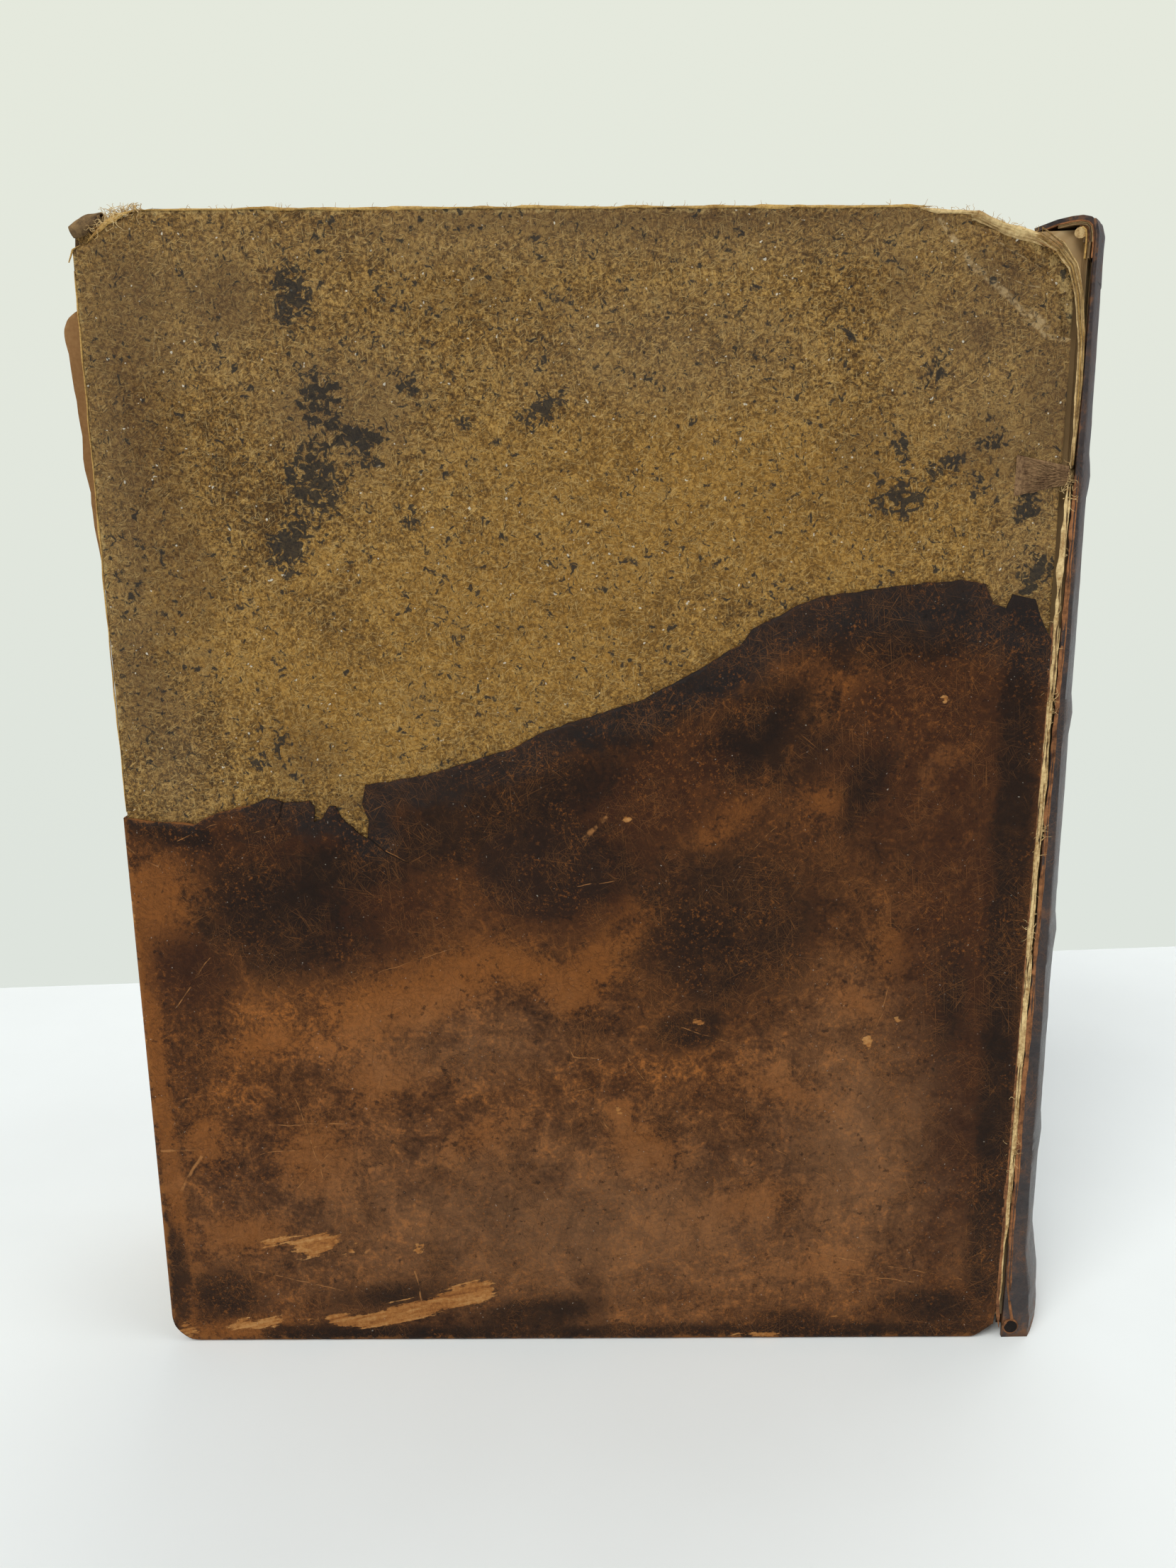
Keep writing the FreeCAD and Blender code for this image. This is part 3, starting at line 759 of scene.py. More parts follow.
@dataclass(frozen=True)
class PasteboardFinish:
    """Felted golden-brown pasteboard with dark leather left in its pores."""

    dark: Rgb = (72, 52, 29)
    middle: Rgb = (130, 96, 47)
    light: Rgb = (188, 149, 81)
    gold: Rgb = (158, 114, 46)
    grey: Rgb = (114, 94, 70)
    cream: Rgb = (206, 178, 118)
    creases: Lines = ()

    def build(self) -> bpy.types.Material:
        """Makes the material."""
        n = Nodes("felted_pasteboard")
        clouds = n.noise(30, 5, 0.6, 0.5)
        patches = n.noise(6.5, 5, 0.65, 0.6)
        felt = n.noise(1.5, 3, 0.65, 0.6)
        grain = n.noise(0.6, 2, 0.6)
        body = n.sum([(clouds, 0.18), (patches, 0.18), (felt, 0.28), (grain, 0.36)])
        colour = n.ramp(body, [(0.42, self.dark), (0.495, self.middle), (0.575, self.light)])
        gold = n.mask("gold", [(clouds, 1.2), (patches, 0.6)], 0.4)
        colour = n.over(colour, gold, 0.42, self.gold)
        grey = n.mask("grey", [(clouds, 1.0), (patches, 0.9), (felt, 0.6)], 0.35)
        colour = n.over(colour, grey, 0.34, self.grey)
        dark_threads = n.most([n.flecks(2.6, 0.22, turn, 0.59, 0.7) for turn in (12, 63, 118, 152)])
        pale_threads = n.most([n.flecks(2.2, 0.24, turn, 0.6, 0.7) for turn in (38, 97, 170)])
        colour = n.over(colour, dark_threads, 0.5, (62, 43, 26))
        colour = n.over(colour, pale_threads, 0.46, (200, 168, 108))
        specks = n.step(n.noise(1.1, 2, 0.5), 0.7, 0.76)
        colour = n.over(colour, specks, 0.6, (50, 38, 30))
        soiled = n.mask("soil", [(clouds, 1.4), (patches, 2.0), (felt, 1.8), (grain, 0.8)], 0.4)
        colour = n.over(colour, soiled, 0.46, (72, 51, 37))
        flour = n.step(n.noise(1.15, 1, 0.5), 0.755, 0.79)
        colour = n.over(colour, flour, 0.8, (214, 206, 186))
        scuffed = n.mask("rim", [(patches, 0.9), (felt, 0.9), (grain, 0.5)], 0.2)
        colour = n.over(colour, scuffed, 0.55, self.cream)
        fold = n.most([n.line(n.face_coords(1.3), a, b, half) for a, b, half in self.creases])
        rubbed = n.math("MULTIPLY", fold, n.step(felt, 0.36, 0.6))
        colour = n.over(colour, rubbed, 0.55, (192, 166, 122))
        crumbs = n.noise(1.9, 2, 0.6, 1.1)
        left = n.mask("residue", [(patches, 1.3), (crumbs, 3.2), (felt, 1.6)], 0.22)
        colour = n.over(colour, left, 0.88, n.blend(patches, (30, 29, 27), (42, 44, 45)))
        height = n.sum(
            [
                (felt, 0.8), (grain, 0.3), (dark_threads, -0.35), (pale_threads, 0.35),
                (patches, 0.5), (fold, -0.5)
            ]
        )
        return n.close(colour, 0.86, height, 0.2, 0.16)


@dataclass(frozen=True)
class CalfFinish:
    """Marbled calf, darkened with age, scuffed and scratched."""

    name: str
    dark: Rgb
    brown: Rgb
    warm: Rgb
    orange: Rgb
    black: Rgb = (25, 18, 14)
    flesh: Rgb = (168, 110, 58)
    rough: float = 0.52
    gloss: float = 0.1
    scratches: Lines = ()
    cracks: Lines = ()

    def build(self) -> bpy.types.Material:
        """Makes the material."""
        n = Nodes(self.name)
        clouds = n.noise(36, 5, 0.6, 0.8)
        patches = n.noise(8, 6, 0.66, 0.9)
        veins = n.noise(6, 6, 0.7, 2.8)
        fine = n.noise(1.2, 4, 0.7)
        body = n.sum([(clouds, 0.26), (patches, 0.26), (veins, 0.22), (fine, 0.26)])
        colour = n.ramp(
            body, [(0.41, self.dark), (0.475, self.brown), (0.525, self.warm), (0.59, self.orange)]
        )
        orange = n.mask("orange", [(clouds, 0.5), (patches, 1.1), (fine, 1.0)], 0.22)
        colour = n.over(colour, orange, 0.72, n.blend(veins, self.orange, self.warm))
        red = n.mask("red", [(clouds, 0.6), (patches, 0.9), (fine, 0.6)], 0.28)
        colour = n.over(colour, red, 0.72, (50, 26, 15))
        marbling = n.step(n.math("ABSOLUTE", n.math("SUBTRACT", veins, 0.5)), 0.04, 0.0)
        colour = n.over(colour, marbling, 0.35, self.dark)
        # Lighter brown patches: real dust on the upper cover, and on the lower cover a painted
        # reflection of the pale floor over the calf's lower part.
        dust_and_floor_sheen = n.mask("dust_and_floor_sheen", [(clouds, 0.9), (patches, 0.9), (fine, 0.4)], 0.5)
        colour = n.over(colour, dust_and_floor_sheen, 0.62, (132, 95, 64))
        black = n.mask("dark", [(clouds, 0.5), (patches, 1.1), (fine, 0.9)], 0.2)
        colour = n.over(colour, black, 0.85, self.black)
        film = n.mask("film", [(patches, 0.22), (fine, 0.08)], 0.03)
        colour = n.over(colour, film, 0.72, (42, 27, 19))
        band = n.mask("band", [(patches, 0.6), (fine, 0.2)], 0.22)
        colour = n.over(colour, band, 0.9, n.blend(patches, (24, 19, 16), (40, 36, 35)))
        pits = n.step(n.noise(1.9, 2, 0.5), 0.66, 0.72)
        colour = n.over(colour, pits, 0.6, self.black)
        worn = n.step(n.noise(15, 4, 0.6), 0.4, 0.6)
        ways = ((9, 28), (6, 142), (11, 95), (7, 172), (5, 60), (8, 118))
        scuffs = n.most([n.flecks(long, 0.13, turn, 0.63, 0.74) for long, turn in ways])
        colour = n.over(colour, n.math("MULTIPLY", scuffs, worn), 0.36, self.flesh)
        dulled = n.most(
            [n.flecks(long, 0.3, turn, 0.62, 0.72) for long, turn in ((4, 15), (5, 78), (3, 130))]
        )
        colour = n.over(colour, dulled, 0.3, self.dark)
        rubbed = n.math(
            "MULTIPLY", n.step(n.noise(0.9, 5, 0.8), 0.53, 0.66),
            n.step(n.noise(22, 4, 0.6), 0.42, 0.6)
        )
        colour = n.over(colour, rubbed, 0.42, self.orange)
        rim = n.mask("rim", [(patches, 1.1), (fine, 0.7)], 0.14)
        colour = n.over(colour, rim, 0.8, n.blend(fine, self.flesh, self.warm))
        drag = n.noise(1, 4, 0.65, 0.2, n.place((1000 / 13, 500, 1000 / 1.7), 13))
        scrape = n.mask("scrape", [(fine, 0.3), (patches, 0.7), (drag, 1.3)], 0.05)
        bare = n.ramp(
            n.sum([(drag, 0.6), (fine, 0.4)]),
            [(0.38, (122, 74, 38)), (0.5, (164, 108, 56)), (0.62, (190, 140, 84))]
        )
        colour = n.over(colour, scrape, 0.88, bare)
        ends = n.face_coords(1.6)
        cutting = n.most([n.line(ends, *cut_mark) for cut_mark in self.scratches])
        broken = n.step(n.noise(3.5, 3, 0.6), 0.42, 0.6)
        colour = n.over(colour, n.math("MULTIPLY", cutting, broken), 0.62, (178, 122, 70))
        split = n.most([n.line(ends, *crack) for crack in self.cracks])
        colour = n.over(colour, split, 0.8, (20, 14, 12))
        flour = n.step(n.noise(0.7, 1, 0.5), 0.77, 0.82)
        colour = n.over(colour, flour, 0.5, (186, 176, 160))
        grain = n.cells(0.8)
        creases = n.step(n.noise(3.4, 5, 0.6, 1.6), 0.35, 0.65)
        height = n.sum(
            [
                (grain, 0.14), (fine, 0.22), (creases, 0.2), (patches, 0.45), (scrape, -0.6),
                (scuffs, -0.2)
            ]
        )
        height = n.math("MULTIPLY_ADD", cutting, -0.5, n.math("MULTIPLY_ADD", split, -1.2, height))
        roughness = n.math("MULTIPLY_ADD", fine, 0.26, self.rough - 0.13)
        roughness = n.math("MULTIPLY_ADD", n.math("MAXIMUM", scrape, rim), 0.3, roughness)
        roughness = n.math("MULTIPLY_ADD", worn, 0.06, roughness)
        return n.close(colour, roughness, height, 0.2, self.gloss)


@dataclass(frozen=True)
class LeafFinish:
    """The cut edges and faces of a block of old rag leaves."""

    def build(self) -> bpy.types.Material:
        """Makes the material."""
        n = Nodes("aged_leaves")
        sheets = n.noise(1, 3, 0.75, 0.1, n.place((9, 5200, 9)))
        quires = n.noise(1, 2, 0.6, 0.05, n.place((4, 260, 4)))
        dirt = n.noise(16, 6, 0.65, 0.4)
        fox = n.step(n.noise(5, 3, 0.5), 0.66, 0.76)
        body = n.sum([(sheets, 0.5), (quires, 0.3), (dirt, 0.2)])
        colour = n.ramp(
            body, [(0.34, (112, 84, 52)), (0.48, (176, 146, 102)), (0.62, (214, 190, 146))]
        )
        colour = n.blend(n.step(dirt, 0.5, 0.75, 0.55), colour, (120, 88, 52))
        colour = n.over(colour, fox, 0.45, (128, 84, 42))
        height = n.sum([(sheets, 1.0), (quires, 0.5)])
        return n.close(colour, 0.88, height, 0.3, 0.2)


@dataclass(frozen=True)
class PaperFinish:
    """Old laid paper, browned and foxed."""

    name: str
    light: Rgb
    brown: Rgb

    def build(self) -> bpy.types.Material:
        """Makes the material."""
        n = Nodes(self.name)
        clouds = n.noise(55, 6, 0.66, 0.1)
        spots = n.step(n.noise(6, 4, 0.6), 0.62, 0.74)
        fibre = n.noise(0.8, 3, 0.6)
        laid = n.noise(1, 1, 0.5, 0.05, n.place((12, 12, 950)))
        colour = n.ramp(
            n.sum([(clouds, 0.6), (fibre, 0.4)]), [(0.3, self.brown), (0.62, self.light)]
        )
        colour = n.over(colour, spots, 0.4, self.brown)
        offset = n.mask("offset", [(clouds, 0.5), (fibre, 0.3)], 0.2)
        colour = n.over(colour, offset, 0.6, (104, 66, 34))
        return n.close(colour, 0.88, n.sum([(fibre, 0.5), (laid, 0.5), (clouds, 1.0)]), 0.12, 0.2)


@dataclass(frozen=True)
class FibreFinish:
    """Threads, cords and torn fibres."""

    name: str
    light: Rgb
    dark: Rgb
    size: float = 0.5

    def build(self) -> bpy.types.Material:
        """Makes the material."""
        n = Nodes(self.name)
        grain = n.noise(self.size, 4, 0.7)
        lumps = n.noise(6, 3, 0.6)
        body = n.sum([(grain, 0.6), (lumps, 0.4)])
        colour = n.ramp(body, [(0.36, self.dark), (0.6, self.light)])
        return n.close(colour, 0.9, grain, 0.12, 0.2)


@dataclass(frozen=True)
class ThreadFinish:
    """Endband sewing in two faded colours, with painted shade in the grooves between its turns."""

    def build(self) -> bpy.types.Material:
        """Makes the material."""
        n = Nodes("endband_sewing")
        wave = n.add(
            "ShaderNodeTexWave", wave_type="BANDS", bands_direction="Y", wave_profile="SIN"
        )
        n.feed(wave.inputs["Vector"], n.coords)
        wave.inputs["Scale"].default_value = 180
        wave.inputs["Distortion"].default_value = 0.6
        twist = wave.outputs["Fac"]
        two = n.step(n.noise(1, 0, 0.5, 0, n.place((1, 310, 1))), 0.48, 0.52)
        colour = n.blend(two, (168, 142, 98), (96, 74, 58))
        dusty = n.noise(3, 4, 0.6)
        colour = n.blend(n.step(dusty, 0.45, 0.7, 0.5), colour, (110, 84, 56))
        # Darker where the wave's relief is lowest, in the grooves between the turns: painted shade.
        colour = n.blend(n.step(twist, 0.4, 0.0, 0.6), colour, (54, 38, 28))
        return n.close(colour, 0.85, twist, 0.3, 0.25)


class Shades:
    """The book's finishes, each built once."""

    def __init__(self) -> None:
        """Builds them all."""
        calf_tones = ((44, 26, 15), (74, 44, 22), (102, 62, 30), (164, 99, 42))
        self.pasteboard = PasteboardFinish(creases=CoverBoard.FOLDS).build()
        self.lower_calf = CalfFinish(
            "marbled_calf",
            *calf_tones,
            scratches=LowerLeather.SCRATCHES,
            cracks=LowerLeather.CRACKS,
        ).build()
        self.upper_calf = CalfFinish("upper_calf", *calf_tones).build()
        self.spine_calf = CalfFinish(
            "spine_calf", (34, 28, 28), (46, 38, 37), (58, 47, 43), (88, 58, 40),
            rough=0.4, gloss=0.4,
        ).build()
        self.leaves = LeafFinish().build()
        self.browned = PaperFinish("browned_paper", (198, 156, 102), (146, 104, 62)).build()
        self.page = PaperFinish("page_paper", (208, 184, 140), (166, 134, 90)).build()
        self.lining = PaperFinish("lining_paper", (196, 166, 116), (140, 104, 66)).build()
        self.cream = FibreFinish("cream_fibre", (226, 198, 142), (150, 112, 64), 0.9).build()
        self.straw = FibreFinish("straw_fibre", (208, 170, 100), (142, 104, 54)).build()
        self.flesh = FibreFinish("torn_flesh", (158, 106, 66), (70, 44, 29), 1.3).build()
        # Painted shade: the near-black finish of the disk that stands for the shade inside the tail
        # roll.
        self.roll_shade = FibreFinish("tail_roll_shade", (34, 26, 22), (18, 14, 12)).build()
        self.slip = FibreFinish("frayed_slip", (150, 118, 82), (78, 54, 38), 0.6).build()
        self.hemp = FibreFinish("hemp_cord", (188, 158, 108), (116, 86, 52), 0.7).build()
        self.ply = FibreFinish("board_ply", (176, 146, 94), (104, 78, 48), 0.8).build()
        self.flap = FibreFinish("flap_leather", (140, 112, 74), (52, 38, 30), 1.6).build()
        self.sewing = ThreadFinish().build()


# ---- the book's parts


@dataclass
class PageBlock:
    """The block of leaves, its endbands, cords and linings, and the two flyleaves."""

    sheet: float = 0.85
    deckle: float = 0.42
    band_turns: int = 64
    seed: int = 5

    def build(self, shades: Shades) -> None:
        """Makes and dresses every piece of the block."""
        self.block(shades)
        self.flyleaf("lower_flyleaf", shades.browned, "browned_paper", -1)
        self.flyleaf("upper_flyleaf", shades.page, "page_paper", 1)
        for name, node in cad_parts.items():
            if name.startswith("spine_lining"):
                dress(node, shades.lining)
            elif name.startswith("sewing_cord"):
                dress(node, shades.hemp)
            elif name.endswith("_endband"):
                self.endband(name, shades)

    def block(self, shades: Shades) -> None:
        """The leaves as one block whose edges step in and out."""
        bm = copy_node("text_block")
        low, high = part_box("text_block")
        cut(bm, Axis.THROUGH, spaced(low.y, high.y, self.sheet * MM))
        cut(bm, Axis.UP, spaced(low.z, high.z, 7 * MM))
        cut(bm, Axis.ACROSS, spaced(low.x, high.x, 12 * MM))
        bm.normal_update()
        draw = random.Random(self.seed)
        steps = [draw.random() ** 2 for _ in range(200)]
        for v in bm.verts:
            side = abs(v.normal.y)
            row = int((v.co.y - low.y) / (self.sheet * MM))
            push = steps[row] * 0.7 + 0.3 * abs(wobble(v.co, 9 * MM, row * 3.1))
            if side < 0.8 and v.co.x < high.x - 14 * MM:
                v.co -= v.normal * push * self.deckle * MM
        piece = make_piece(bm, "leaf_block", Body.PAGES, shades.leaves, 30)
        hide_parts("text_block")

    def flyleaf(self, node: str, finish: bpy.types.Material, slot: str, side: int) -> None:
        """One flyleaf, cockled where nothing presses on it.

        Args:
            node: the CAD node that it stands for.
            finish: its material.
            slot: not used.
            side: -1 on the lower cover's side and 1 on the upper's.
        """
        bm = copy_node(node)
        low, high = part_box(node)
        cut(bm, Axis.UP, spaced(low.z, high.z, 2.5 * MM))
        near_edge = [low.x + k * MM for k in (0.6, 1.4, 2.2, 4.1, 5.3)]
        cut(bm, Axis.ACROSS, spaced(low.x, high.x, 3 * MM) + near_edge)
        for v in bm.verts:
            loose = min(max((-113.5 * MM - v.co.x) / (6 * MM), 0), 1)
            v.co.y += side * loose * 1.1 * MM * (
                wobble(v.co, 22 * MM, 3) + 0.45 * wobble(v.co, 6 * MM, 8)
            )
            v.co.y += 0.1 * MM * wobble(v.co, 30 * MM, 5)
            edge = min(max((-112 * MM - v.co.x) / (5 * MM), 0), 1)
            v.co.x += edge * 0.45 * MM * (
                wobble(v.co, 5 * MM, 11) + 0.6 * wobble(v.co, 1.7 * MM, 2)
            )
        piece = make_piece(bm, node.replace("flyleaf", "endpaper"), Body.PAGES, finish, 60)
        co = places(piece)
        paint(piece, "offset", np.clip((-106 - co[:, 0]) / 12, 0, 1))
        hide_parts(node)

    def endband(self, node: str, shades: Shades) -> None:
        """One endband with its sewing wound round the core."""
        low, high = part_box(node)
        bm = copy_node(node, False)
        cut(bm, Axis.THROUGH, spaced(low.y, high.y, 0.3 * MM))
        bm.normal_update()
        pitch = (high.y - low.y) / self.band_turns
        for v in bm.verts:
            v.co -= v.normal * 0.14 * MM * (0.5 + 0.5 * math.cos(v.co.y / pitch * math.tau))
        piece = make_piece(bm, "sewn_" + node, Body.PAGES, shades.sewing, 80)
        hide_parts(node)


def dress(node: bpy.types.Object, finish: bpy.types.Material) -> None:
    """Gives a carried-over CAD node its finish."""
    if node.data.materials:
        node.data.materials[0] = finish
    else:
        node.data.materials.append(finish)
    log.info("%s keeps its shape", node.name)


TEAR_LINE: tuple[Point, ...] = (
    (-117.0, 144.8), (-110.4, 143.9), (-99.1, 143.1), (-94.5, 145.9), (-85.1, 147.8),
    (-82.2, 149.2),
    (-78.0, 148.1), (-71.9, 148.7), (-70.8, 147.3), (-71.0, 143.6), (-69.2, 144.2), (-67.2, 147.3),
    (-65.7, 147.3), (-64.4, 143.9), (-61.7, 142.0), (-58.4, 138.9), (-58.0, 143.6), (-59.3, 147.8),
    (-58.4, 152.6), (-52.7, 153.2), (-40.6, 155.7), (-23.5, 161.0), (-14.9, 165.5), (-4.3, 168.8),
    (7.3, 172.5), (19.9, 179.2), (30.0, 185.4), (33.1, 189.0), (43.6, 194.6), (49.4, 196.6),
    (72.5, 199.4),
    (80.6, 199.9), (85.9, 199.1), (88.1, 194.6), (91.2, 193.5), (92.3, 196.6), (97.5, 195.4),
    (102.0, 189.6),
)


@dataclass
class CoverBoard:
    """One pasteboard with its pastedown and the cord slips laced into it."""

    side: str
    body: Body
    grid: float = 2.2
    edge: float = 0.9
    relief: float = 0.16

    RESIDUE: ClassVar[Marks] = (
        Blot(-69.5, 262, 4.6, 9, 0, 0.8), Blot(-64, 240, 7, 9, 0, 0.74),
        Blot(-57, 232.5, 6.5, 3, -12, 0.95),
        Blot(-66.5, 222, 6.5, 10, -8, 0.92), Blot(-72.5, 209, 4.6, 6.5, -28, 0.92),
        Blot(-54, 227, 2.6, 3, 0, 0.8),
        Blot(-44, 242.5, 3.2, 2.8, 0, 0.8), Blot(-33, 235, 5.4, 5, 0, 0.62),
        Blot(-15, 237.5, 6, 2.6, 32, 0.9),
        Blot(-25.6, 241.5, 2.4, 2.4, 0, 0.66), Blot(-49, 246, 2, 2, 0, 0.6),
        Blot(-45, 226, 1.6, 3, 0, 0.7),
        Blot(72, 245, 2.6, 5.4, -20, 0.84), Blot(66, 218, 5.4, 4, -10, 0.9),
        Blot(75.5, 225.5, 8, 2.4, 32, 0.82),
        Blot(65.5, 228, 1.8, 5, 10, 0.8), Blot(86, 230, 4, 3, 30, 0.78),
        Blot(94, 216.5, 2.8, 4.4, 0, 0.9),
        Blot(97.5, 201.5, 3.4, 3.4, 0, 1.0), Blot(-78, 163, 4, 9, 0, 0.62),
        Blot(52.6, 253.1, 1, 1, 0, 1.0),
        Blot(-84, 158, 3, 4, 0, 0.6), Blot(-12, 206, 1.8, 1.2, 30, 0.9),
        Blot(98, 243, 3, 6, 0, 0.5),
        Blot(60.5, 217, 2, 3, 0, 0.8), Blot(83, 221, 7, 5, 20, 0.58),
        Blot(-45, 213, 4, 2.4, 0, 0.66),
        Blot(-29, 212.5, 1.2, 1.2, 0, 0.9), Blot(8, 244, 1.3, 1.3, 0, 0.8),
        Blot(-1, 222, 1.2, 1.2, 0, 0.8),
    )
    GOLD: ClassVar[Marks] = (
        Blot(-20, 190, 60, 26, 12), Blot(20, 215, 55, 20), Blot(-60, 172, 26, 16)
    )
    GREY: ClassVar[Marks] = (
        Blot(-92, 262, 30, 18), Blot(0, 274, 100, 7), Blot(-113, 215, 7, 70),
        Blot(-60, 240, 20, 16),
        Blot(86, 250, 22, 26, 40), Blot(96, 222, 10, 40), Blot(-104, 160, 10, 20),
        Blot(10, 250, 30, 12),
    )
    SOIL: ClassVar[Marks] = (
        Blot(-104, 232, 6.5, 30, 4, 1.1), Blot(-98, 204, 7, 14, 0, 0.95),
        Blot(-103, 262, 8, 7, 0, 0.9), Blot(-84, 261, 8, 6, 0, 0.95),
        Blot(98, 240, 5, 12, 0, 1.0), Blot(84, 228, 12, 8, 20, 0.7), Blot(20, 277, 60, 3, 0, 0.85),
        Blot(86, 265, 7, 8, 30, 0.85),
        Blot(-60, 236, 22, 14, 0, 0.62), Blot(81.2, 253, 2.7, 2.6, 8, 1.15),
        Blot(74, 256, 1, 4.5, -45, 0.9), Blot(60, 262, 14, 9, 0, 0.6),
        Blot(-108, 176, 6, 16, 0, 0.8), Blot(-72, 160, 12, 10, 0, 0.7),
        Blot(-60, 148, 16, 3, 0, 0.7), Blot(-30, 262, 26, 8, 0, 0.55),
        Blot(56, 226, 12, 18, 0, 0.6),
    )
    CREASE: ClassVar[tuple[Point, ...]] = (
        (70.7, 275.6), (79.2, 266.6), (87.7, 260.1), (95.3, 252.7), (103.5, 251.0)
    )
    FOLDS: ClassVar[Lines] = (
        ((70.7, 276.2), (79.2, 266.6), 0.8), ((79.2, 266.6), (87.7, 260.1), 1.1),
        ((87.7, 260.1), (95.3, 252.7), 0.9),
        ((95.3, 252.7), (102.4, 251.6), 0.6), ((92.0, 257.2), (95.4, 254.5), 1.2),
        ((56.4, 251.4), (60.8, 247.2), 0.26),
        ((81.5, 266.0), (93.5, 262.5), 0.18), ((-99.5, 254.8), (-100.4, 248.0), 0.16),
        ((84, 271.8), (93.6, 266.8), 0.2),
    )
    WORN_CORNER: ClassVar[tuple[Point, ...]] = (
        (74, 279), (84, 276.6), (92, 272), (97.5, 267), (100.5, 259), (103, 250)
    )

    def build(self, shades: Shades) -> None:
        """Makes and dresses the board and what is glued to it."""
        self.board(shades)
        for name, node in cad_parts.items():
            if name == self.side + "_pastedown":
                dress(node, shades.browned)
            elif name.startswith(self.side + "_cord_slip"):
                dress(node, shades.slip)

    def board(self, shades: Shades) -> None:
        """The board itself, felted, creased and worn round at its edges."""
        node = self.side + "_board"
        bm = copy_node(node)
        low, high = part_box(node)
        for axis in (Axis.ACROSS, Axis.UP):
            a, b = low[axis.value], high[axis.value]
            cut(bm, axis, spaced(a, b, self.grid * MM) + edge_cuts(a, b, self.edge * MM))
        cut(bm, Axis.THROUGH, edge_cuts(low.y, high.y, self.edge * MM))
        round_box(bm, low, high, self.edge * MM)
        worn = self.side == "lower"
        across, up = face_places(bm)
        fold = line_distance(across, up, self.CREASE)
        for v, gap in zip(bm.verts, fold):
            if worn and v.co.y < low.y + 0.2 * MM:
                lump = 0.5 + wobble(v.co, 14 * MM, 4) + 0.7 * wobble(v.co, 4.5 * MM, 9)
                v.co.y += MM * (self.relief * max(lump, 0) + 0.3 * math.exp(-((gap / 1.4) ** 2)))
            if worn and v.co.z > high.z - 1.5 * MM:
                v.co.z -= 0.25 * MM * abs(wobble(v.co, 5 * MM, 2))
        piece = make_piece(
            bm, self.side + "_pasteboard", self.body, shades.pasteboard
        )
        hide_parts(node)
        if worn:
            self.mark(piece)

    def mark(self, piece: bpy.types.Object) -> None:
        """Paints the lower board's stains and worn edges."""
        co = places(piece)
        corner = line_distance(co[:, 0], co[:, 2], self.WORN_CORNER)
        top = 0.62 - (279.6 - co[:, 2]) / 5
        left = 0.56 - (co[:, 0] + 116.2) / 4
        stain = 1.16 * marked(co, self.RESIDUE)
        paint(piece, "residue", np.where(stain < 0.5, 2.4 * stain - 0.7, stain))
        paint(piece, "gold", marked(co, self.GOLD))
        paint(piece, "grey", marked(co, self.GREY))
        paint(piece, "soil", marked(co, self.SOIL))
        paint(piece, "rim", np.maximum(np.maximum(0.6 - corner / 5, top), left))


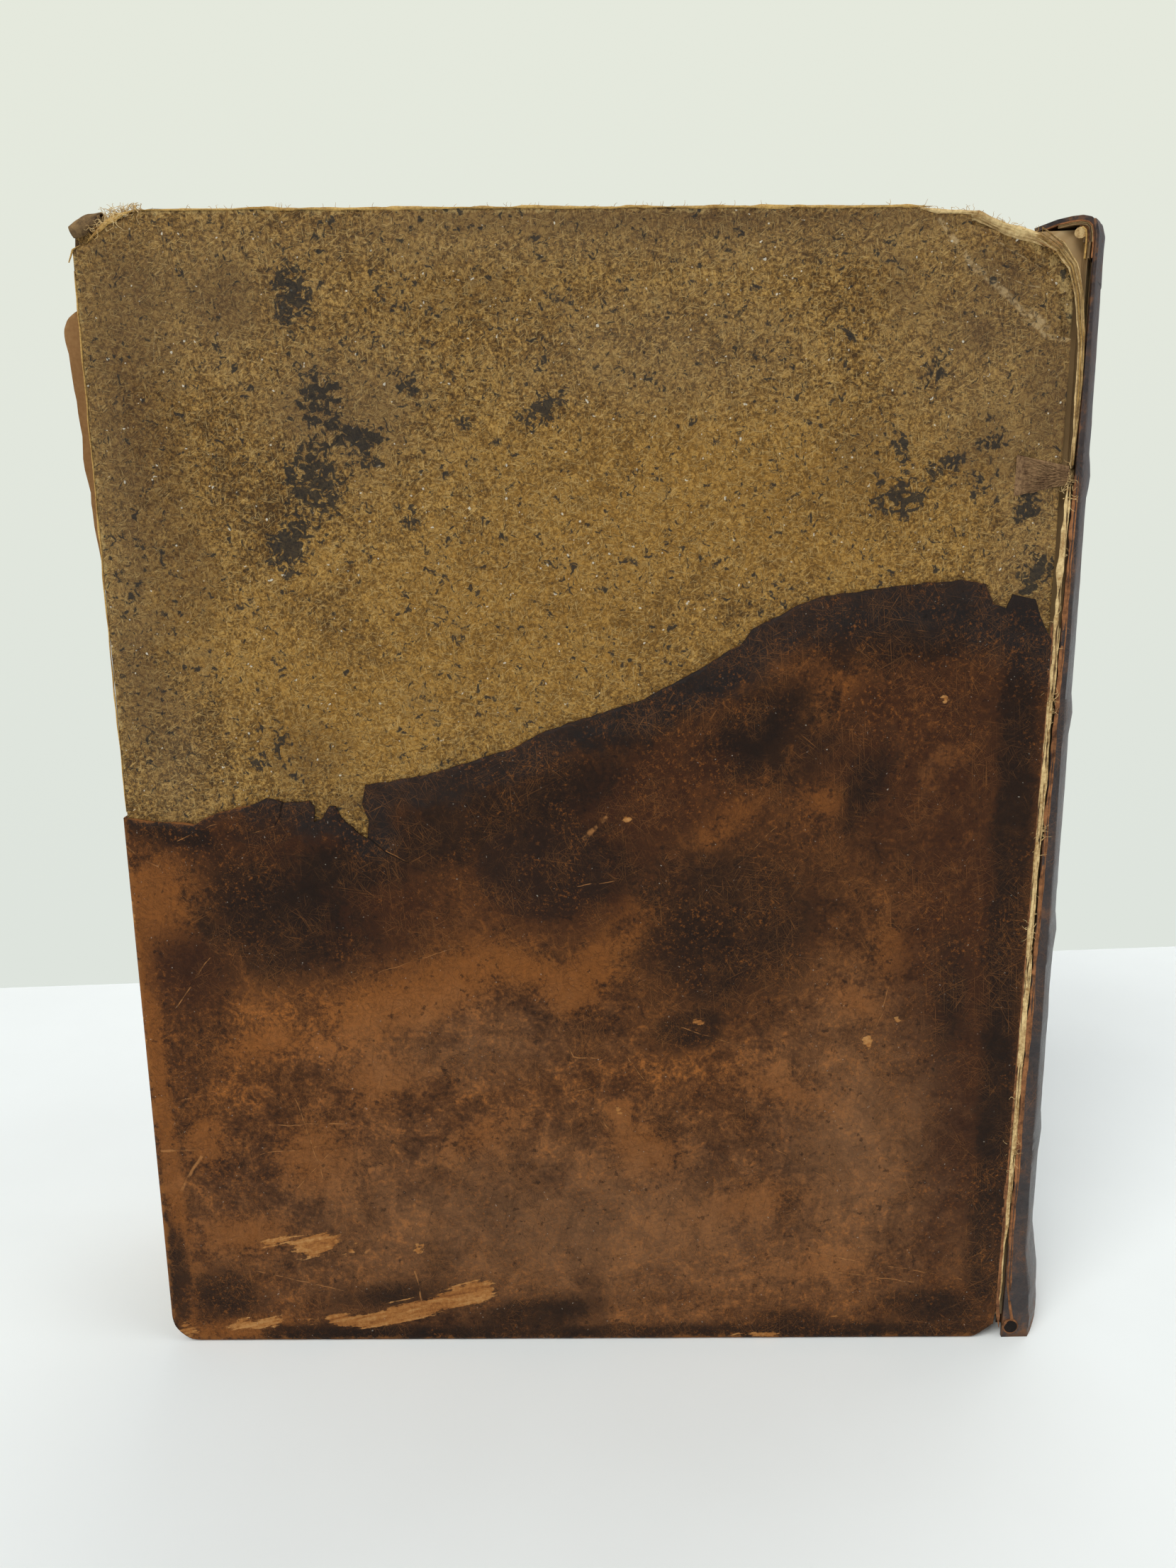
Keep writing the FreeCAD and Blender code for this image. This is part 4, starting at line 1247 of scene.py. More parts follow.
@dataclass
class LowerLeather:
    """What is left of the lower cover's calf, torn off above a ragged line."""

    grid: float = 1.7
    edge: float = 1.2
    ragged: float = 0.34

    SCRATCHES: ClassVar[Lines] = (
        ((-115, 56.6), (-103.2, 57.0), 0.5), ((-105.1, 54.8), (-114.9, 39.3), 0.5),
        ((-1.1, 144.4), (-6.1, 139.1), 0.75),
        ((-116.4, 137.6), (-113.8, 134.6), 0.3), ((-113.8, 134.6), (-109.4, 132.2), 0.24),
        ((-109.4, 132.2), (-106.6, 137.4), 0.18),
        ((-54.1, 136.1), (-48.4, 133.2), 0.16), ((-94, 143.4), (-104, 139.2), 0.16),
        ((-80.8, 142.6), (-86.4, 140.6), 0.16),
        ((-51.4, 21.2), (-50.2, 12.2), 0.3), ((-60.2, 31.0), (-64.6, 26.2), 0.5),
        ((53.4, 26), (92.3, 17.8), 0.2), ((-10.6, 85.4), (-9.0, 82.0), 0.24),
        ((-9.0, 82.0), (-2.6, 81.4), 0.26),
        ((13.6, 91.4), (36.5, 83.4), 0.16), ((-2.4, 64.6), (0.6, 59.2), 0.22),
        ((4.6, 81.8), (8.2, 76.0), 0.16),
        ((-11.8, 71.8), (-4.4, 73.6), 0.2), ((-96, 22), (-70, 15), 0.2),
        ((-8, 127), (3, 128.6), 0.16),
        ((-87, 63.6), (-66, 64.2), 0.2), ((-90, 55.4), (-72, 57.8), 0.18),
        ((-82, 44.6), (-70, 58), 0.16),
        ((-80, 71), (-74, 48), 0.16), ((56, 20.6), (80, 17.2), 0.2), ((-108, 96), (-98, 110), 0.2),
        ((30, 132), (44, 146), 0.12),
        ((-60, 104), (-36, 112), 0.14), ((66, 88), (69, 101), 0.16), ((40, 58), (58, 46), 0.14),
        ((-112, 70), (-96, 73.6), 0.2),
    )
    CRACKS: ClassVar[Lines] = (
        ((-58.2, 139.6), (-54.1, 135.7), 0.26), ((-54.1, 135.7), (-49.0, 133.3), 0.16),
        ((-78.0, 148.6), (-79.0, 144.9), 0.3),
        ((-79.0, 144.9), (-80.4, 142.9), 0.22),
    )
    DARK: ClassVar[Marks] = (
        Blot(28, 116, 25, 21, 40, 0.95), Blot(27, 103, 10, 7, 30),
        Blot(-82, 121, 24, 17, -14, 0.95),
        Blot(-12, 133, 17, 12), Blot(70, 188, 30, 8, 4),
        Stroke(((96, 190), (97, 110), (99, 15)), 5),
        Blot(38, 164, 16, 12, 30), Stroke(((-90, 2), (0, 1), (98, 2)), 3.4),
        Blot(-20, 8, 16, 5, 10),
        Blot(12, 172, 26, 8, 30), Blot(-102, 14, 9, 7), Blot(86, 10, 14, 5),
        Blot(-26, 146, 32, 10, 20),
        Blot(-114, 20, 3, 16), Blot(-105, 141, 13, 3.4, -12), Blot(20, 90, 10, 5, 20),
        Blot(-64, 132, 18, 7, 10),
        Blot(60, 150, 8, 16, -20, 0.8), Blot(84, 96, 10, 30, 0, 0.7), Blot(-58, 14, 22, 5, 8, 0.8),
        Blot(48, 6, 16, 4, 0, 0.8),
    )
    RED: ClassVar[Marks] = (
        Blot(75, 160, 26, 26), Blot(84, 116, 14, 50), Blot(-10, 132, 28, 18), Blot(-70, 140, 34, 9),
        Blot(88, 60, 9, 44),
        Blot(-104, 106, 10, 12), Blot(10, 150, 40, 14, 20), Blot(-66, 122, 30, 14),
    )
    # Painted reflection: the pale floor's sheen on the lower part of the calf, painted as lighter
    # patches.
    FLOOR_SHEEN: ClassVar[Marks] = (
        Blot(-12, 34, 92, 32, 0, 0.8), Blot(62, 56, 28, 46, 0, 0.8), Blot(-34, 84, 50, 18, 10, 0.6)
    )
    FILM: ClassVar[Marks] = (Blot(-16.5, 131, 16, 12.5), Blot(-82, 142, 10, 4, 10))
    ORANGE: ClassVar[Marks] = (
        Blot(-107, 123, 10, 9, 0, 1.15), Blot(-97, 4, 18, 4, 5, 0.95),
        Blot(-112, 14, 3.6, 14, -8, 0.95), Stroke(((56, 180), (42, 160), (24, 140)), 4.5),
        Stroke(((8, 122), (-2, 108), (-10, 98)), 6),
        Blot(2.5, 66.7, 3, 3.4), Blot(9, 56, 13, 9, -30, 0.9), Blot(-76, 54, 14, 13, 20, 0.85),
        Blot(-46, 100, 28, 10, 24, 0.9),
        Stroke(((-115, 122), (-114, 70), (-112, 30)), 2.6), Blot(-22, 106, 20, 6, -20, 0.9),
        Blot(-94, 32, 16, 7, 0, 0.9),
        Blot(-58, 76, 18, 10, 0, 0.75), Blot(46, 72, 22, 8, -20, 0.75),
        Blot(34, 40, 26, 9, 14, 0.8), Blot(-104, 60, 7, 14, 0, 0.8),
        Blot(52, 148, 7, 6, 0, 0.9), Blot(24, 150, 10, 7, 20, 0.8), Blot(70, 110, 9, 14, 0, 0.75),
        Blot(-86, 86, 20, 6, 10, 0.7),
        Blot(56, 22, 20, 5, 6, 0.75), Blot(-34, 60, 20, 8, 30, 0.7), Blot(62, 96, 14, 6, -30, 0.75),
    )
    SCRAPES: ClassVar[Marks] = (
        Stroke(((-33.5, 15.6), (-46, 11.4), (-57, 8.0)), 2.9),
        Stroke(((-57, 7.4), (-66, 5.8), (-74, 6.4)), 2.4, 0.9),
        Blot(-80, 6, 9, 1.6, -4, 0.8), Blot(-88, 30, 8, 2.0, 16, 0.8),
        Blot(-76.5, 29.4, 6, 3.2, 14, 1.0),
        Blot(-68, 27.4, 4.6, 0.8, 40, 0.9), Blot(-94, 5.4, 16, 2.4, 8, 0.74),
        Blot(-50.1, 27.9, 1.6, 1.1, 30), Blot(78.1, 172.1, 1.3, 0.9, 20),
        Blot(64.3, 85.8, 1.0, 1.9), Blot(21.7, 91.3, 1.9, 0.8, 10), Blot(-113, 4, 4, 3, 0, 0.8),
        Blot(4, 143.6, 1.2, 0.9), Blot(72, 92, 1.1, 0.8), Blot(-66, 5, 8, 1.4, 8, 0.8),
        Blot(2.5, 66.7, 1.6, 2.2, 0, 0.7), Blot(40, 1.5, 9, 1.2, 0, 0.7),
        Blot(60, 7, 6, 1.0, 10, 0.7), Blot(-98, 6, 5, 3, 20, 0.7),
        Blot(-117, 121, 1.4, 5, 0, 0.7), Blot(-116.6, 88, 1.2, 6, 0, 0.7),
    )

    def build(self, shades: Shades) -> None:
        """Makes and dresses the leather."""
        node = "lower_board_leather"
        bm = copy_node(node)
        low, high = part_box(node)
        for axis, top in ((Axis.ACROSS, high.x), (Axis.UP, 200 * MM)):
            a = low[axis.value]
            cut(bm, axis, spaced(a, top, self.grid * MM) + edge_cuts(a, top, self.edge * MM))
        cut(bm, Axis.THROUGH, edge_cuts(low.y, high.y, self.edge * MM))
        round_box(bm, low, Vector((high.x + 1, high.y, high.z + 1)), self.edge * MM)
        gaps = line_distance(*face_places(bm), TEAR_LINE)
        for v, gap in zip(bm.verts, gaps):
            spot = Vector((v.co.x, 0, v.co.z))
            near = self.ragged * MM * math.exp(-((gap / 1.3) ** 2))
            v.co.x += near * (wobble(spot, 2.6 * MM, 3) + 0.6 * wobble(spot, 1.2 * MM, 7))
            v.co.z += near * (wobble(spot, 2.2 * MM, 13) + 0.6 * wobble(spot, 1.1 * MM, 17))
            if v.co.y < low.y + 0.3 * MM:
                curl = 0.45 * max(wobble(spot, 11 * MM, 21), 0) * math.exp(-((gap / 3.2) ** 2))
                swell = 0.1 * wobble(spot, 18 * MM, 6) + 0.06 * wobble(spot, 5 * MM, 2)
                thin = 0.3 * math.exp(-((gap / 0.9) ** 2))
                v.co.y += MM * (swell + thin - curl)
        piece = make_piece(bm, "torn_calf", Body.LOWER, shades.lower_calf)
        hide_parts(node)
        co = places(piece)
        below = line_distance(co[:, 0], co[:, 2], TEAR_LINE)
        deep = np.interp(co[:, 0], [-117, -62, -52, 30, 60, 102], [3, 4, 7, 8, 11, 12])
        left = np.where(co[:, 0] > -88, 0.86 - below / 12, 0.6 - below / 10)
        paint(piece, "band", np.where(co[:, 0] > -62, 1 - below / deep / 2, left))
        paint(piece, "dark", marked(co, self.DARK))
        paint(piece, "red", marked(co, self.RED))
        paint(piece, "film", marked(co, self.FILM))
        # painted reflection of the pale floor on the lower calf
        paint(piece, "dust_and_floor_sheen", marked(co, self.FLOOR_SHEEN))
        paint(piece, "orange", marked(co, self.ORANGE))
        paint(piece, "scrape", marked(co, self.SCRAPES))
        left = 0.6 - (co[:, 0] - FORE_X) / 7
        foot = 0.52 - co[:, 2] / 9
        torn = np.where(co[:, 0] < -86, 0.62, 0.36) - below / 1.6
        paint(
            piece, "rim",
            np.maximum(np.maximum(left, torn), np.where(co[:, 0] < -60, foot + 0.06, foot))
        )


@dataclass
class UpperLeather:
    """The upper cover's whole calf, rubbed at its corners and along its edges."""

    grid: float = 3.0
    edge: float = 1.2

    SCRAPES: ClassVar[Marks] = (
        Stroke(((-104, 268), (-97, 264)), 1.2, 0.8), Blot(-40, 206, 5, 1.0, 24, 0.8),
        Stroke(((30, 60), (38, 63)), 0.9, 0.8),
        Blot(-112, 4, 4, 3, 0, 0.85), Blot(-113, 277, 4, 3, 0, 0.85), Blot(84, 226, 1.2, 2, 0, 0.8),
        Blot(-4, 19, 9, 1.1, 12, 0.8),
        Blot(-113, 92, 2, 8, 0, 0.74), Blot(-60, 3, 14, 1.4, 0, 0.74),
        Blot(20, 277.5, 18, 1.2, 0, 0.74), Blot(52, 148, 1.4, 1, 0, 0.9),
    )
    seed: int = 5

    def scatter(self, draw: random.Random, count: int, size: float) -> list[Blot]:
        """Overlapping soft marks all over the board."""
        return [
            Blot(
                draw.uniform(-112, 96), draw.uniform(6, 274), size * draw.uniform(0.5, 1.6),
                size * draw.uniform(0.3, 0.9),
                draw.uniform(-40, 60), draw.uniform(0.68, 0.95),
            )
            for _ in range(count)
        ]

    def build(self, shades: Shades) -> None:
        """Makes and dresses the leather."""
        node = "upper_board_leather"
        bm = copy_node(node)
        low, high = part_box(node)
        for axis in (Axis.ACROSS, Axis.UP):
            a, b = low[axis.value], high[axis.value]
            cut(bm, axis, spaced(a, b, self.grid * MM) + edge_cuts(a, b, self.edge * MM))
        cut(bm, Axis.THROUGH, edge_cuts(low.y, high.y, self.edge * MM))
        round_box(bm, low, Vector((high.x + 1, high.y, high.z)), self.edge * MM)
        for v in bm.verts:
            if v.co.y > high.y - 0.3 * MM:
                v.co.y += MM * (
                    0.12 * wobble(v.co, 18 * MM, 6) + 0.07 * wobble(v.co, 5 * MM, 2) - 0.1
                )
        piece = make_piece(bm, "upper_calf", Body.UPPER, shades.upper_calf)
        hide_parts(node)
        co = places(piece)
        draw = random.Random(self.seed)
        paint(
            piece, "dark",
            0.93 * marked(co, self.scatter(draw, 26, 17) + [Stroke(((98, 274), (99, 6)), 4, 0.8)])
        )
        paint(piece, "red", marked(co, self.scatter(draw, 10, 26)))
        paint(piece, "orange", marked(co, self.scatter(draw, 16, 17)))
        paint(piece, "dust_and_floor_sheen", marked(co, self.scatter(draw, 8, 30)))
        paint(piece, "scrape", marked(co, self.SCRAPES))
        edges = np.minimum(co[:, 0] - FORE_X, np.minimum(co[:, 2], HEAD_Z - co[:, 2]))
        corner = np.hypot(np.minimum(co[:, 2], HEAD_Z - co[:, 2]), co[:, 0] - FORE_X)
        paint(piece, "rim", np.maximum(0.58 - edges / 6, 0.8 - corner / 22))


@dataclass
class Spine:
    """The spine's leather with its rolled caps."""

    foot_x: float = 107.54
    lean: float = 0.85
    centre: float = -42.87
    radius: float = 53.87
    turn_in: float = 273.5
    cap_steps: int = 44
    foot_top: float = 20.0
    head_foot: float = 270.0
    # how far the tail cap follows the spine leather in or out, by degrees about the back's centre
    SWELL_AT: ClassVar[tuple[float, ...]] = (-36, -28, -12, 4, 12, 20, 28, 36)
    SWELL_BY: ClassVar[tuple[float, ...]] = (-0.5, -0.15, 0.05, -0.1, -0.5, -0.95, -1.45, -2.4)

    def build(self, shades: Shades) -> None:
        """Makes and dresses the spine's pieces."""
        self.leather(shades)
        self.cap("head_cap", band(CAP_LINE, 0, 0.9), (-34.8, 34.0), shades.spine_calf)
        self.cap("tail_cap", band(FOOT_LINE, 0, 0.9), (-33.0, 33.0), shades.spine_calf)
        liners = (
            ("cap_flesh", CAP_LINE[1:10], 0.92, 1.25, -35.0, shades.flesh),
            ("cap_paper", CAP_LINE[2:9], 1.3, 1.5, -34.6, shades.cream),
            ("cap_hide", CAP_LINE[1:9], 1.6, 1.95, -34.9, shades.flap),
            ("cap_ply", CAP_LINE[2:7], 2.05, 2.3, -34.5, shades.flesh),
            ("cap_lining", CAP_LINE[1:6], 2.4, 2.75, -34.8, shades.straw),
            ("cap_felt", CAP_LINE[2:6], 2.9, 3.3, -34.4, shades.flap),
        )
        for name, line, near, far, start, finish in liners:
            self.cap(name, band(line, near, far), (start, -26.5), finish)
        turns = [math.tau * i / 14 for i in range(14)]
        core = [(50.2 + 1.35 * math.cos(a), 274.3 + 1.25 * math.sin(a)) for a in turns]
        self.cap("cap_core", band(core + core[:1], 0, 0.5), (-34.6, -27.5), shades.cream)
        self.joint_leather(shades)

    def joint_leather(self, shades: Shades) -> None:
        """The unbroken leather of the upper joint, with its pressed groove."""
        bm = bmesh.new()
        columns, rows = 14, 130
        bmesh.ops.create_grid(bm, x_segments=columns, y_segments=rows, size=0.5)
        for v in bm.verts:
            x, z = 99.4 + (v.co.x + 0.5) * 5.3, 0.6 + (v.co.y + 0.5) * 277.4
            level = 31.28 if x < 102.4 else 31.0
            dip = 0.32 * math.exp(-(((x - 103.3) / 0.7) ** 2))
            spot = Vector((x, 0, z))
            edge = min(x - 99.4, 104.7 - x)
            thin = 0.14 * math.exp(-((edge / 0.5) ** 2))
            v.co = Vector((x, level - dip - thin + 0.06 * wobble(spot, 6, 3), z)) * MM
            v.co.x += 0.5 * MM * wobble(spot, 9, 7) * (edge < 0.2)
        bmesh.ops.solidify(bm, geom=bm.faces[:], thickness=0.22 * MM)
        bmesh.ops.recalc_face_normals(bm, faces=bm.faces)
        piece = make_piece(bm, "upper_joint_calf", None, shades.spine_calf, 60)
        paint(piece, "rim", np.full(len(piece.data.vertices), 0.34))
        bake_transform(piece)

    def lean_matrix(self) -> Matrix:
        """The pages' own leaning frame."""
        turn = Matrix.Rotation(-math.radians(self.lean), 4, "Y")
        return Matrix.Translation((self.foot_x * MM, 0, 0)) @ turn

    def leather(self, shades: Shades) -> None:
        """The leather over the back, cockled between its low ridges."""
        bm = copy_node("spine_leather", False)
        low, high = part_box("spine_leather")
        cut(bm, Axis.UP, spaced(low.z, high.z, 2.4 * MM))
        cut(bm, Axis.THROUGH, spaced(low.y, high.y, 2 * MM))
        bm.normal_update()
        for v in bm.verts:
            v.co += v.normal * MM * (
                0.14 * wobble(v.co, 9 * MM, 3) + 0.08 * wobble(v.co, 3 * MM, 12) - 0.05
            )
            over = max(v.co.z - self.turn_in * MM, 0)
            v.co.z -= 0.3 * over
            v.co.x -= 0.12 * over
            v.co.y *= 1 - 3 * over
        piece = make_piece(bm, "spine_calf", Body.PAGES, shades.spine_calf)
        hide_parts("spine_leather")
        co = places(piece)
        ends = np.maximum(0.7 - co[:, 2] / 12, 0.7 - (278 - co[:, 2]) / 8)
        flank = 0.5 - (co[:, 0] - 104.3) / 2.5
        paint(piece, "rim", np.maximum(ends * (co[:, 0] > 108), flank))
        ridges = [0.62 - np.abs(co[:, 2] - z) / 9 for z in (55, 111, 167, 223)]
        paint(piece, "orange", np.maximum.reduce(ridges) * (np.abs(co[:, 1]) < 22))

    def cap(
        self, name: str, outline: Sequence[Point], sweep_deg: Point, finish: bpy.types.Material
    ) -> None:
        """One cap, its outline spun about the back's own centre.

        Args:
            name: the piece's name.
            outline: closed outline as radius and height in the leaning frame, in millimetres.
            sweep_deg: the first and last angle about the centre.
            finish: its material.
        """
        bm = bmesh.new()
        start, end = (math.radians(a) for a in sweep_deg)
        corners = [bm.verts.new((self.centre * MM + r * MM, 0, w * MM)) for r, w in outline]
        face = bm.faces.new(corners)
        middle = Vector((self.centre * MM, 0, 0))
        bmesh.ops.rotate(bm, verts=corners, cent=middle, matrix=Matrix.Rotation(start, 3, "Z"))
        bmesh.ops.spin(
            bm, geom=[face] + face.edges[:] + face.verts[:], cent=middle, axis=(0, 0, 1),
            angle=end - start,
            steps=self.cap_steps, use_duplicate=False,
        )
        bmesh.ops.remove_doubles(bm, verts=bm.verts, dist=MERGE)
        for v in bm.verts:
            if v.co.z < self.foot_top * MM:
                way = (v.co - middle) * Vector((1, 1, 0))
                turn = math.degrees(math.atan2(way.y, way.x))
                v.co += way.normalized() * MM * float(np.interp(turn, self.SWELL_AT, self.SWELL_BY))
        bmesh.ops.transform(bm, matrix=self.lean_matrix(), verts=bm.verts)
        bmesh.ops.recalc_face_normals(bm, faces=bm.faces)
        for v in bm.verts:
            v.co += MM * 0.22 * Vector((wobble(v.co, 6 * MM, 2), 0, wobble(v.co, 5 * MM, 8)))
            if v.co.z > self.head_foot * MM:
                v.co.z -= 0.06 * max(-v.co.y - 0.022, 0) * min(
                    (v.co.z - self.head_foot * MM) / (4 * MM), 1
                )
        piece = make_piece(bm, name, Body.PAGES, finish, 60)
        paint(piece, "rim", np.full(len(piece.data.vertices), 0.34))


CAP_LINE: tuple[Point, ...] = (
    (53.9, 264.0), (53.95, 268.5), (54.0, 272.0), (54.0, 274.2), (53.5, 276.2), (52.3, 277.4),
    (50.5, 277.9), (48.2, 277.9),
    (45.2, 277.5), (42.4, 276.7), (40.4, 276.2),
)
FOOT_LINE: tuple[Point, ...] = (
    (49.0, 1.3), (50.4, 0.6), (52.4, 0.3), (54.4, 0.4), (55.7, 1.1), (56.3, 2.8), (56.3, 5.4),
    (56.0, 8.4), (55.5, 12.0),
)


def band(line: Sequence[Point], near: float, far: float) -> list[Point]:
    """The closed outline between two offsets to the left of a line.

    Args:
        line: the line's points, outermost surface first.
        near: offset of the outer edge.
        far: offset of the inner edge.

    Returns:
        The outline's corners.
    """
    sides: tuple[list[Point], list[Point]] = ([], [])
    for i, (x, z) in enumerate(line):
        ax, az = line[max(i - 1, 0)]
        bx, bz = line[min(i + 1, len(line) - 1)]
        long = math.hypot(bx - ax, bz - az)
        nx, nz = -(bz - az) / long, (bx - ax) / long
        for side, off in zip(sides, (near, far)):
            side.append((x + nx * off, z + nz * off))
    return sides[0] + sides[1][::-1]


@dataclass
class Joint:
    """The broken joint along the lower board: torn edges, paper and frayed cords."""

    seed: int = 11
    stations: tuple[float, ...] = (56.5, 114.5, 139.7, 171.9, 222.5)
    roll_x: float = 106.5
    roll_z: float = 3.4

    def build(self, shades: Shades) -> None:
        """Makes and dresses the joint's pieces."""
        calf_edge = (
            (103.4, 3.2), (102.3, 12), (101.95, 40), (102.0, 80), (101.9, 140), (101.95, 191)
        )
        torn = [
            Ribbon(calf_edge, -30.95, 0.42, 0.2, seed=1),
            Ribbon(calf_edge[1:4], -30.95, 0.26, 0.2, 0.5, seed=4)
        ]
        ribbons("flesh_edge", torn, Body.LOWER, shades.flesh)
        plies = [
            Ribbon(
                ((103.2, 8), (103.0, 20), (102.9, 80), (102.7, 150), (102.8, 222)), -30.75, 0.5,
                0.24, 0, seed=2
            ),
            Ribbon(
                ((103.2, 30), (103.2, 90), (103.1, 150), (103.1, 222)), -30.6, 0.24, 0.24, 0.35,
                seed=3
            ),
            Ribbon(((103.3, 40), (103.3, 110)), -30.5, 0.2, 0.2, 0.6, seed=5),
            Ribbon(((103.2, 128), (103.2, 190)), -30.5, 0.18, 0.2, 0.6, seed=6),
        ]
        ribbons("paper_edge", plies, Body.LOWER, shades.cream)
        brown = [
            Ribbon(((102.6, 20), (102.6, 200)), -30.8, 0.13, 0.2, 0, seed=8),
            Ribbon(((103.1, 60), (103.1, 216)), -30.7, 0.1, 0.2, 0.2, seed=9)
        ]
        ribbons("paste_lines", brown, Body.LOWER, shades.flap)
        spine_edge = (
            (107.6, 1.6), (106.6, 6), (105.2, 14), (104.7, 30), (104.55, 70), (104.6, 140),
            (104.6, 224)
        )
        back_edge = [
            Ribbon(spine_edge, -30.68, 0.4, 0.18, seed=7),
            Ribbon(spine_edge[2:], -30.7, 0.22, 0.18, 0.55, seed=12)
        ]
        ribbons("spine_flesh", back_edge, Body.PAGES, shades.flesh)
        self.tail_roll(shades)
        self.tufts(shades)

    def roll_end(self, depth: float) -> Matrix:
        """Where the roll at the tail lies, turned to face out of the book."""
        spot = Matrix.Translation((self.roll_x * MM, depth * MM, self.roll_z * MM))
        return spot @ Matrix.Rotation(math.radians(90), 4, "X")

    def tail_roll(self, shades: Shades) -> None:
        """The rolled end of the turned-in leather at the tail, hollow inside, and a near-black disk
        just inside its mouth: painted shade in the hollow.
        """
        bm = bmesh.new()
        rim = bmesh.ops.create_circle(bm, segments=20, radius=2.15 * MM)["verts"]
        edges = bm.edges[:]
        bmesh.ops.transform(bm, matrix=self.roll_end(-31.0), verts=rim)
        for _ in range(4):
            grown = bmesh.ops.extrude_edge_only(bm, edges=edges)["geom"]
            moved = [g for g in grown if isinstance(g, bmesh.types.BMVert)]
            edges = [g for g in grown if isinstance(g, bmesh.types.BMEdge)]
            bmesh.ops.translate(bm, vec=(0.2 * MM, 1.0 * MM, 0), verts=moved)
        for v in bm.verts:
            across, through = wobble(v.co, 3 * MM, 2), 0.6 * wobble(v.co, 1.6 * MM, 4)
            v.co += MM * 0.3 * Vector((across, through, 0.5 * wobble(v.co, 3 * MM, 5)))
            v.co.z = max(v.co.z, 0.75 * MM)
        bmesh.ops.recalc_face_normals(bm, faces=bm.faces)
        bmesh.ops.solidify(bm, geom=bm.faces[:], thickness=0.6 * MM)
        bmesh.ops.recalc_face_normals(bm, faces=bm.faces)
        make_piece(bm, "tail_roll", Body.PAGES, shades.flesh, 60)
        # A near-black disk just inside the roll's mouth: painted shade in the hollow.
        bm = bmesh.new()
        bmesh.ops.create_cone(
            bm, cap_ends=True, segments=20, radius1=1.75 * MM, radius2=1.75 * MM, depth=0.5 * MM
        )
        bmesh.ops.transform(bm, matrix=self.roll_end(-30.9), verts=bm.verts)
        make_piece(bm, "tail_roll_shade", Body.PAGES, shades.roll_shade, 60)

    def tufts(self, shades: Shades) -> None:
        """Frayed cord ends and loose threads at the sewing stations."""
        draw = random.Random(self.seed)
        roots = []
        for z in self.stations:
            for _ in range(20):
                x = 102.7 + draw.uniform(-0.7, 1.2)
                roots.append(Vector((x, -30.9, z + draw.gauss(0, 2.2))))
        roots += along(((102.7, 20), (102.6, 215)), 46, (-31.0, -30.7), draw)
        strands(
            "joint_threads", tangle(draw, roots, 0.55, Vector((0, 0, 0)), 0.6), 0.075 * MM,
            Body.LOWER, shades.cream
        )
        flesh = along(((101.8, 8), (101.7, 190)), 60, (-31.1, -30.95), draw)
        strands(
            "flesh_fibres", tangle(draw, flesh, 0.4, Vector((0.3, 0, 0)), 0.5, 4), 0.07 * MM,
            Body.LOWER, shades.flesh
        )


@dataclass
class TornForeHead:
    """The lower board's torn corner at the fore-edge: a rolled flap and a mat of fibres."""

    TORN: ClassVar[tuple[Point, ...]] = (
        (-112.2, 272.9), (-110.6, 274.4), (-107.9, 276.6), (-105.4, 277.8), (-100.4, 279.3)
    )
    seed: int = 23

    def build(self, shades: Shades) -> None:
        """Makes and dresses the corner's pieces."""
        self.flap(shades)
        lips = [
            Ribbon(self.TORN, -30.45, 0.42, 0.3, seed=1),
            Ribbon(((-100.4, 279.1), (-60, 279.1), (-20, 279.15)), -30.3, 0.26, 0.3, seed=2),
            Ribbon(((-22, 279.15), (30, 279.1), (70, 278.9)), -30.3, 0.28, 0.3, seed=3),
            Ribbon(((-117.0, 268.6), (-115.9, 271.2), (-113.4, 272.4)), -30.3, 0.34, 0.3, seed=4),
            Ribbon(((-116.1, 146), (-116.15, 200), (-116.1, 268)), -30.2, 0.16, 0.3, seed=5),
        ]
        ribbons("frayed_lips", lips, Body.LOWER, shades.straw)
        draw = random.Random(self.seed)
        mat = along(self.TORN[1:], 170, (-30.7, -28.8), draw)
        strands(
            "corner_fibres", tangle(draw, mat, 0.6, Vector((-0.4, 0, 0.6)), 0.85, 6), 0.1 * MM,
            Body.LOWER, shades.cream
        )
        edge = along(((-100, 279.3), (60, 279.3)), 90, (-30.3, -29.0), draw) + along(
            self.TORN[:3], 30, (-30.8, -30.3), draw
        )
        strands(
            "edge_fibres", tangle(draw, edge, 0.3, Vector((0, 0, 0.5)), 0.5, 4), 0.06 * MM,
            Body.LOWER, shades.straw
        )

    def flap(self, shades: Shades) -> None:
        """A strip of dark skin rolled on itself."""
        bm = bmesh.new()
        start, end = Vector((-116.4, -28.4, 275.0)) * MM, Vector((-109.2, -28.8, 277.6)) * MM
        axis = (end - start).normalized()
        out = axis.cross(Vector((0, 1, 0))).normalized()
        count = 12
        verts = []
        for i in range(count + 1):
            share = i / count
            radius = (1.0 + 0.95 * math.sin(math.pi * (0.22 + 0.62 * (1 - share)))) * MM
            verts.append(bm.verts.new(start.lerp(end, share) + out * radius))
        edges = [bm.edges.new(pair) for pair in zip(verts, verts[1:])]
        bmesh.ops.rotate(
            bm, verts=verts, cent=start, matrix=Matrix.Rotation(math.radians(-160), 3, axis)
        )
        bmesh.ops.spin(
            bm, geom=verts + edges, cent=start, axis=axis, angle=math.radians(318), steps=20,
            use_duplicate=False
        )
        for v in bm.verts:
            across, through = 0.7 * wobble(v.co, 4 * MM, 2), 0.5 * wobble(v.co, 3 * MM, 4)
            v.co += MM * 0.42 * Vector((across, through, wobble(v.co, 2.6 * MM, 6)))
        bmesh.ops.recalc_face_normals(bm, faces=bm.faces)
        bmesh.ops.solidify(bm, geom=bm.faces[:], thickness=0.35 * MM)
        bmesh.ops.recalc_face_normals(bm, faces=bm.faces)
        make_piece(bm, "rolled_flap", Body.LOWER, shades.flap, 60)


